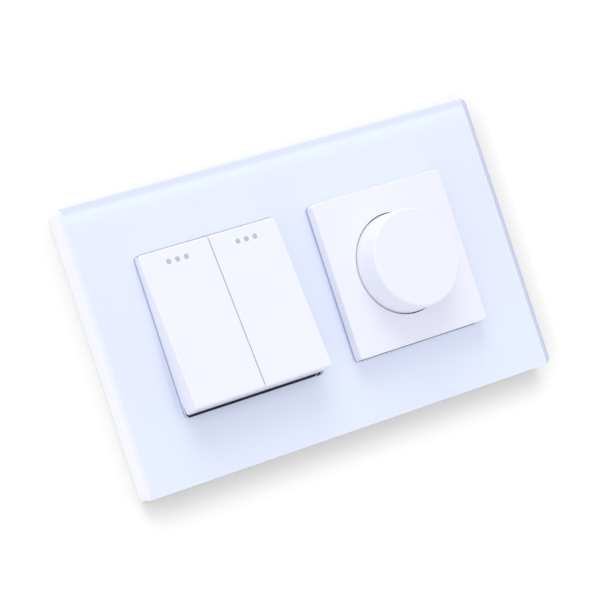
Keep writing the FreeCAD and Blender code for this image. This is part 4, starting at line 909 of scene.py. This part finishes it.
def makeKnob(look):
    low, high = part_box("dimmer_knob")
    front, back, edge = low.y, high.y, look["rimEdge"]
    under, boreEnd = front + look["skin"], front + look["boreDepth"]
    top, base, hub, bore = (look[key] for key in ("topRadius", "baseRadius", "hubRadius", "boreRadius"))
    profile = roundedProfile([
        (0, front, 0),
        (top, front, look["topEdge"]),
        (base, look["coverLevel"], 0),
        (base, back, edge),
        (base - look["wall"], back, edge),
        (top - look["wall"], under, look["topEdge"]),
        (hub, under, edge),
        (hub, back, edge),
        (bore, back, edge),
        (bore, boreEnd, 0),
        (0, boreEnd, 0),
    ], look["edgeSteps"])
    grow("dimmerKnob", turnedPieces, [(look["centre"], 0, 0)],
         {"Profile": profile, "Steps": look["roundSteps"]}, "knob", "dimmer_knob")


makeKnob(dimmerKnob)


# Dots in the keys: slightly domed inlays

keyDot = {
    "dome": 0.00004,           # of the middle above the key's face
    "shoulder": (0.55, 0.000025),      # share of the radius, and the height there
    "sunk": 0.00003,           # of the rim below the face
    "edge": 0.00006,
    "roundSteps": 40,
}


def makeDots(side, key, look):
    turned = onPivot(key["gangs"][side][0], key)
    places = [turned @ Vector((i * key["dotSpacing"], -key["faceOffset"], key["dotRow"])) for i in (-1, 0, 1)]
    radius, depth = key["dotRadius"], key["dotDepth"]
    share, height = look["shoulder"]
    profile = roundedProfile([(0, -look["dome"], 0), (radius * share, -height, 0),
                              (radius, look["sunk"], look["edge"]), (radius, depth, 0), (0, depth, 0)])
    grow(side + "Dots", turnedPieces, places,
         {"Profile": profile, "Steps": look["roundSteps"], "Turn": (-key["tilt"], 0, 0)},
         side + "_key", "rocker_dots_" + side)


for side in rockerKey["gangs"]:
    makeDots(side, rockerKey, keyDot)
print("knob and dots made")


# Slotted screws of the terminals and of the dimmer's board

terminalScrew = {
    "headRadius": 0.0023,
    "headHeight": 0.0017,
    "headEdge": 0.00025,
    "underEdge": 0.00008,
    "shankRadius": 0.00145,
    "threadDepth": 0.00022,
    "threadPitch": 0.0007,
    "flanks": (0.1, 0.5, 0.9),      # root, crest and root again, as shares of one turn
    "roundSteps": 32,
    "slotWidth": 0.0007,
    "slotDepth": 0.0009,
    "looseTurn": math.radians(340),
}
boardScrew = terminalScrew | {
    "headRadius": 0.0019,
    "headHeight": 0.0012,
    "shankRadius": 0.00095,
    "slotWidth": 0.0005,
    "slotDepth": 0.0006,
}


def threaded(look, start, end):
    # the two radii of a thread in turn, from one depth to another
    crest, root = look["shankRadius"], look["shankRadius"] - look["threadDepth"]
    turns = int(abs(end - start) / look["threadPitch"])
    step = (end - start) / turns
    return [(radius, start + step * (turn + share), 0) for turn in range(turns)
            for radius, share in zip((root, crest, root), look["flanks"])]


def makeScrews(name, look, places, head, tip, replaced, seed):
    # head and tip are depths; the head's underside follows from its height
    under = head + math.copysign(look["headHeight"], tip - head)
    profile = roundedProfile([
        (0, head, 0),
        (look["headRadius"], head, look["headEdge"]),
        (look["headRadius"], under, look["underEdge"]),
        (look["shankRadius"], under, 0),
        *threaded(look, under, tip),
        (0, tip, 0),
    ])
    grow(name, slottedScrews, places, {
        "Profile": profile,
        "Steps": look["roundSteps"],
        "Slot Length": look["headRadius"] * 3,      # runs out of the head on both sides
        "Slot Depth": look["slotDepth"] * 2,        # half of the cutter is above the head
        "Slot Width": look["slotWidth"],
        "Slot Level": head,
        "Loose Turn": look["looseTurn"],
        "Seed": seed,
    }, "plate", replaced)


def placesOf(node):
    # the middle of each solid in a CAD node, from its loose parts
    mesh = bmesh.new()
    mesh.from_mesh(nodes[node].data)
    bmesh.ops.remove_doubles(mesh, verts=mesh.verts, dist=cadWeld)
    left, places = set(mesh.verts), []
    while left:
        part, edge = set(), [left.pop()]
        while edge:
            vert = edge.pop()
            part.add(vert)
            for line in vert.link_edges:
                other = line.other_vert(vert)
                if other in left:
                    left.discard(other)
                    edge.append(other)
        xs, zs = [vert.co.x for vert in part], [vert.co.z for vert in part]
        places.append(((min(xs) + max(xs)) / 2, 0, (min(zs) + max(zs)) / 2))
    mesh.free()
    return sorted(places)


for name, node, look, headFirst, seed in (
        ("switchTerminalScrews", "switch_terminal_screws", terminalScrew, False, 3),
        ("dimmerTerminalScrews", "dimmer_terminal_screws", terminalScrew, False, 5),
        ("boardScrews", "board_screws", boardScrew, True, 8)):
    low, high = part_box(node)
    head, tip = (low.y, high.y) if headFirst else (high.y, low.y)
    makeScrews(name, look, placesOf(node), head, tip, node, seed)
print("screws made")


# Resistors on the board, and the turns of the choke

boardResistor = {
    "radius": 0.0012,
    "endEdge": 0.0003,
    "waist": 0.00098,
    "waistEdge": 0.0002,
    "bulge": 0.0014,           # length of the thicker ends
    "waistStart": 1.3,         # in lengths of a thicker end
    "wire": 0.0003,
    "wireLength": 0.0005,
    "roundSteps": 28,
}


def makeResistors(look):
    low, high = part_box("board_resistors")
    half, bulge = (high.x - low.x) / 2, look["bulge"]
    body = half - look["wireLength"]
    ends = [(0, -half, 0), (look["wire"], -half, 0), (look["wire"], -body, 0),
            (look["radius"], -body, look["endEdge"]), (look["radius"], -body + bulge, look["waistEdge"]),
            (look["waist"], -body + bulge * look["waistStart"], look["waistEdge"])]
    profile = roundedProfile(ends + [(radius, -depth, bend) for radius, depth, bend in reversed(ends)])
    places = [((low.x + high.x) / 2, (low.y + high.y) / 2, z) for _, _, z in placesOf("board_resistors")]
    grow("boardResistors", turnedPieces, places,
         {"Profile": profile, "Steps": look["roundSteps"], "Turn": (0, 0, math.radians(90))},
         "plate", "board_resistors")


chokeTurns = {                 # under the names of the tree's inputs
    "Turns": 22,
    "Reach": math.radians(322),
    "Ring": 0.0058,
    "Loop Width": 0.0038,
    "Loop Height": 0.0070,
    "Loop Corner": 0.0007,
    "Wire Radius": 0.00042,
}


def makeTurnsTree(cornerSteps=4, wireSteps=10):
    tree, given, result = startTree("chokeTurns", {
        "Turns": "Int", "Reach": "Float", "Ring": "Float", "Loop Width": "Float", "Loop Height": "Float",
        "Loop Corner": "Float", "Wire Radius": "Float", "Material": "Material"})
    loop = addNode(tree, "GeometryNodeCurvePrimitiveQuadrilateral", {
        "Width": given["Loop Width"], "Height": given["Loop Height"]})
    corners = addNode(tree, "GeometryNodeFilletCurve", {
        "Curve": loop.outputs["Curve"], "Count": cornerSteps, "Radius": given["Loop Corner"]}, mode="POLY")
    wire = addNode(tree, "GeometryNodeCurvePrimitiveCircle", {
        "Resolution": wireSteps, "Radius": given["Wire Radius"]})
    tube = addNode(tree, "GeometryNodeCurveToMesh", {
        "Curve": corners.outputs["Curve"], "Profile Curve": wire.outputs["Curve"]})
    index = addNode(tree, "GeometryNodeInputIndex").outputs["Index"]
    turn = mathOf(tree, "MULTIPLY", mathOf(tree, "DIVIDE", index, given["Turns"]), given["Reach"])
    place = addNode(tree, "ShaderNodeCombineXYZ", {
        "X": mathOf(tree, "MULTIPLY", mathOf(tree, "COSINE", turn), given["Ring"]),
        "Z": mathOf(tree, "MULTIPLY", mathOf(tree, "SINE", turn), given["Ring"]),
    })
    row = addNode(tree, "GeometryNodePoints", {"Count": given["Turns"], "Position": place.outputs[0]})
    back = addNode(tree, "ShaderNodeCombineXYZ", {"Y": mathOf(tree, "MULTIPLY", turn, -1)})
    ring = addNode(tree, "GeometryNodeInstanceOnPoints", {
        "Points": row.outputs[0], "Instance": tube.outputs["Mesh"], "Rotation": back.outputs[0]})
    endTree(tree, given, result, addNode(tree, "GeometryNodeInstanceOnPoints", {"Instance": ring.outputs[0]}))
    return tree


def makeWinding(look):
    low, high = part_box("choke_winding")
    grow("chokeWinding", makeTurnsTree(), [tuple((low + high) / 2)], look, "plate", "choke_winding")


makeResistors(boardResistor)
makeWinding(chokeTurns)
print("board parts made")


# Moulded and pressed pieces from the frame, with their long edges softened

softEdges = {
    "base_frame": {"round": 0.00030, "shortest": 0.010, "paintedShadeWithin": (0.057, 0.027)},
    "mounting_bracket": {"round": 0.00020, "shortest": 0.006},
    "switch_housing": {"round": 0.00040, "shortest": 0.006},
    "dimmer_housing": {"round": 0.00040, "shortest": 0.006},
}
softening = {
    "flat": math.radians(1),        # faces that fold less than this become one
    "folded": math.radians(50),     # edges that fold more than this are softened
    "segments": 3,
    "wallNormal": 0.1,              # most that a window wall's normal may point to the room
}


def softenEdges(node, look, rules):
    mesh = bmesh.new()
    mesh.from_mesh(nodes[node].data)
    bmesh.ops.remove_doubles(mesh, verts=mesh.verts, dist=cadWeld)
    bmesh.ops.dissolve_limit(mesh, angle_limit=rules["flat"], verts=mesh.verts, edges=mesh.edges)
    bmesh.ops.connect_verts_concave(mesh, faces=mesh.faces)
    weight = mesh.edges.layers.float.new("bevel_weight_edge")
    for edge in mesh.edges:
        if edge.calc_length() > look["shortest"] and edge.calc_face_angle_signed() > rules["folded"]:
            edge[weight] = 1.0
    # the walls of the base frame's windows take the dark plastic as painted shade, so that no white shows
    # past the keys
    reachX, reachZ = look.get("paintedShadeWithin", (0, 0))
    for face in mesh.faces:
        middle = face.calc_center_median()
        if abs(middle.x) < reachX and abs(middle.z) < reachZ and abs(face.normal.y) < rules["wallNormal"]:
            face.material_index = 1
    name = "".join(word.capitalize() for word in node.split("_"))
    piece = makePiece(name[0].lower() + name[1:], mesh, "plate", node, "dark_plastic")
    bevel = piece.modifiers.new("softEdge", "BEVEL")
    bevel.limit_method = "WEIGHT"
    bevel.width = look["round"]
    bevel.segments = rules["segments"]
    bevel.use_clamp_overlap = False
    piece.modifiers.move(1, 0)      # before the even shading


for node, look in softEdges.items():
    softenEdges(node, look, softening)
print("edges softened")


# Stage: a white wall with an opening for the box behind the plate, soft suns and a white surround

studio = {
    "wallReach": 3.0,
    "wallLevel": 0.0002,
    "openingInset": 0.0002,
    "wallLift": 0.08,         # plain white that only the camera sees, added to the lit wall
    "wallTone": (1.0, 0.99, 0.93),      # takes the cool tone of the surround out of the shadows
    "shades": (               # soft shadows on the wall, below the plate, right of it and left of it
        {"reach": 0.0082, "lean": (0.0, -0.55, 0.84), "deepest": 0.97},
        {"reach": 0.0135, "lean": (-0.76, -0.57, 0.30), "deepest": 0.46},
        {"reach": 0.0100, "lean": (0.64, -0.48, 0.60), "deepest": 0.80},
    ),
    "shadeSamples": 16,
    "suns": {                 # level is the share of full white that one adds to a face towards the room
        "keySun": {"from": (-0.05, -0.50, 0.86), "level": 0.14, "softness": math.radians(40)},
        "fillSun": {"from": (-0.62, -0.75, -0.10), "level": 0.07, "softness": math.radians(80)},
        "backSun": {"from": (0.25, 0.9, 0.35), "level": 0.25, "softness": math.radians(80)},
    },
    "surround": 0.79,
    "surroundTone": (0.975, 0.985, 1.07),
}
plainWhite = (1, 1, 1, 1)


def makeWall(look):
    low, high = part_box("base_frame")
    inset, reach, level = look["openingInset"], look["wallReach"], look["wallLevel"]
    mesh = bmesh.new()
    corners = [(-reach, -reach), (reach, -reach), (reach, reach), (-reach, reach)]
    opening = [(low.x + inset, low.z + inset), (high.x - inset, low.z + inset),
               (high.x - inset, high.z - inset), (low.x + inset, high.z - inset)]
    joinLoops(mesh, addLoop(mesh, corners, level), addLoop(mesh, opening, level))
    data = storeMesh("wall", mesh)
    data.materials.append(makeWallPaint(look))
    addObject("wall", data)


def makeWallPaint(look):
    material, tree, shader = startMaterial("wallPaint")
    seen = anyRay(tree, "Is Camera Ray")
    tone = (*look["wallTone"], 1)
    for shade in look["shades"]:
        lean = addNode(tree, "ShaderNodeCombineXYZ", dict(zip("XYZ", shade["lean"])))
        covered = addNode(tree, "ShaderNodeAmbientOcclusion", {
            "Distance": shade["reach"], "Normal": lean.outputs[0]}, samples=look["shadeSamples"])
        dark = rampOf(tree, covered.outputs["AO"], ((0.0, [shade["deepest"]] * 3), (1.0, plainWhite[:3])))
        tone = addNode(tree, "ShaderNodeMix", {"Factor": 1.0, 6: dark, 7: tone}, data_type="RGBA",
                       blend_type="MULTIPLY").outputs[2]
    paint = addNode(tree, "ShaderNodeMix", {"Factor": seen, 6: plainWhite, 7: tone}, data_type="RGBA")
    feed(tree, shader, {"Base Color": paint.outputs[2], "Roughness": 1.0, "Specular IOR Level": 0.0})
    lift = mathOf(tree, "MULTIPLY", seen, look["wallLift"])
    glow = addNode(tree, "ShaderNodeEmission", {"Color": plainWhite, "Strength": lift})
    lit = addNode(tree, "ShaderNodeAddShader", {0: shader.outputs[0], 1: glow.outputs[0]})
    # open from behind, so that the back of the plate can be looked at
    behind = addNode(tree, "ShaderNodeNewGeometry").outputs["Backfacing"]
    showMix(tree, "Material Output", behind, lit, addNode(tree, "ShaderNodeBsdfTransparent"))
    return material


def makeSun(name, look):
    course = Vector(look["from"]).normalized()
    data = bpy.data.lights.new(name, "SUN")
    data.energy = look["level"] * math.pi / abs(course.y)
    data.angle = look["softness"]
    addObject(name, data).rotation_euler = course.to_track_quat("Z", "Y").to_euler()


def makeSurround(look):
    world = bpy.data.worlds.new("studio")
    scene.world = world
    world.use_nodes = True
    tree = world.node_tree
    soft = tree.nodes["Background"]
    feed(tree, soft, {"Color": (*look["surroundTone"], 1), "Strength": look["surround"]})
    white = addNode(tree, "ShaderNodeBackground", {"Color": plainWhite, "Strength": 1.0})
    seen = anyRay(tree, "Is Camera Ray", "Is Glossy Ray", "Is Transmission Ray")
    showMix(tree, "World Output", seen, soft, white)


makeWall(studio)
for name, look in studio["suns"].items():
    makeSun(name, look)
makeSurround(studio)
scene.view_settings.view_transform = "Standard"
print("stage made")
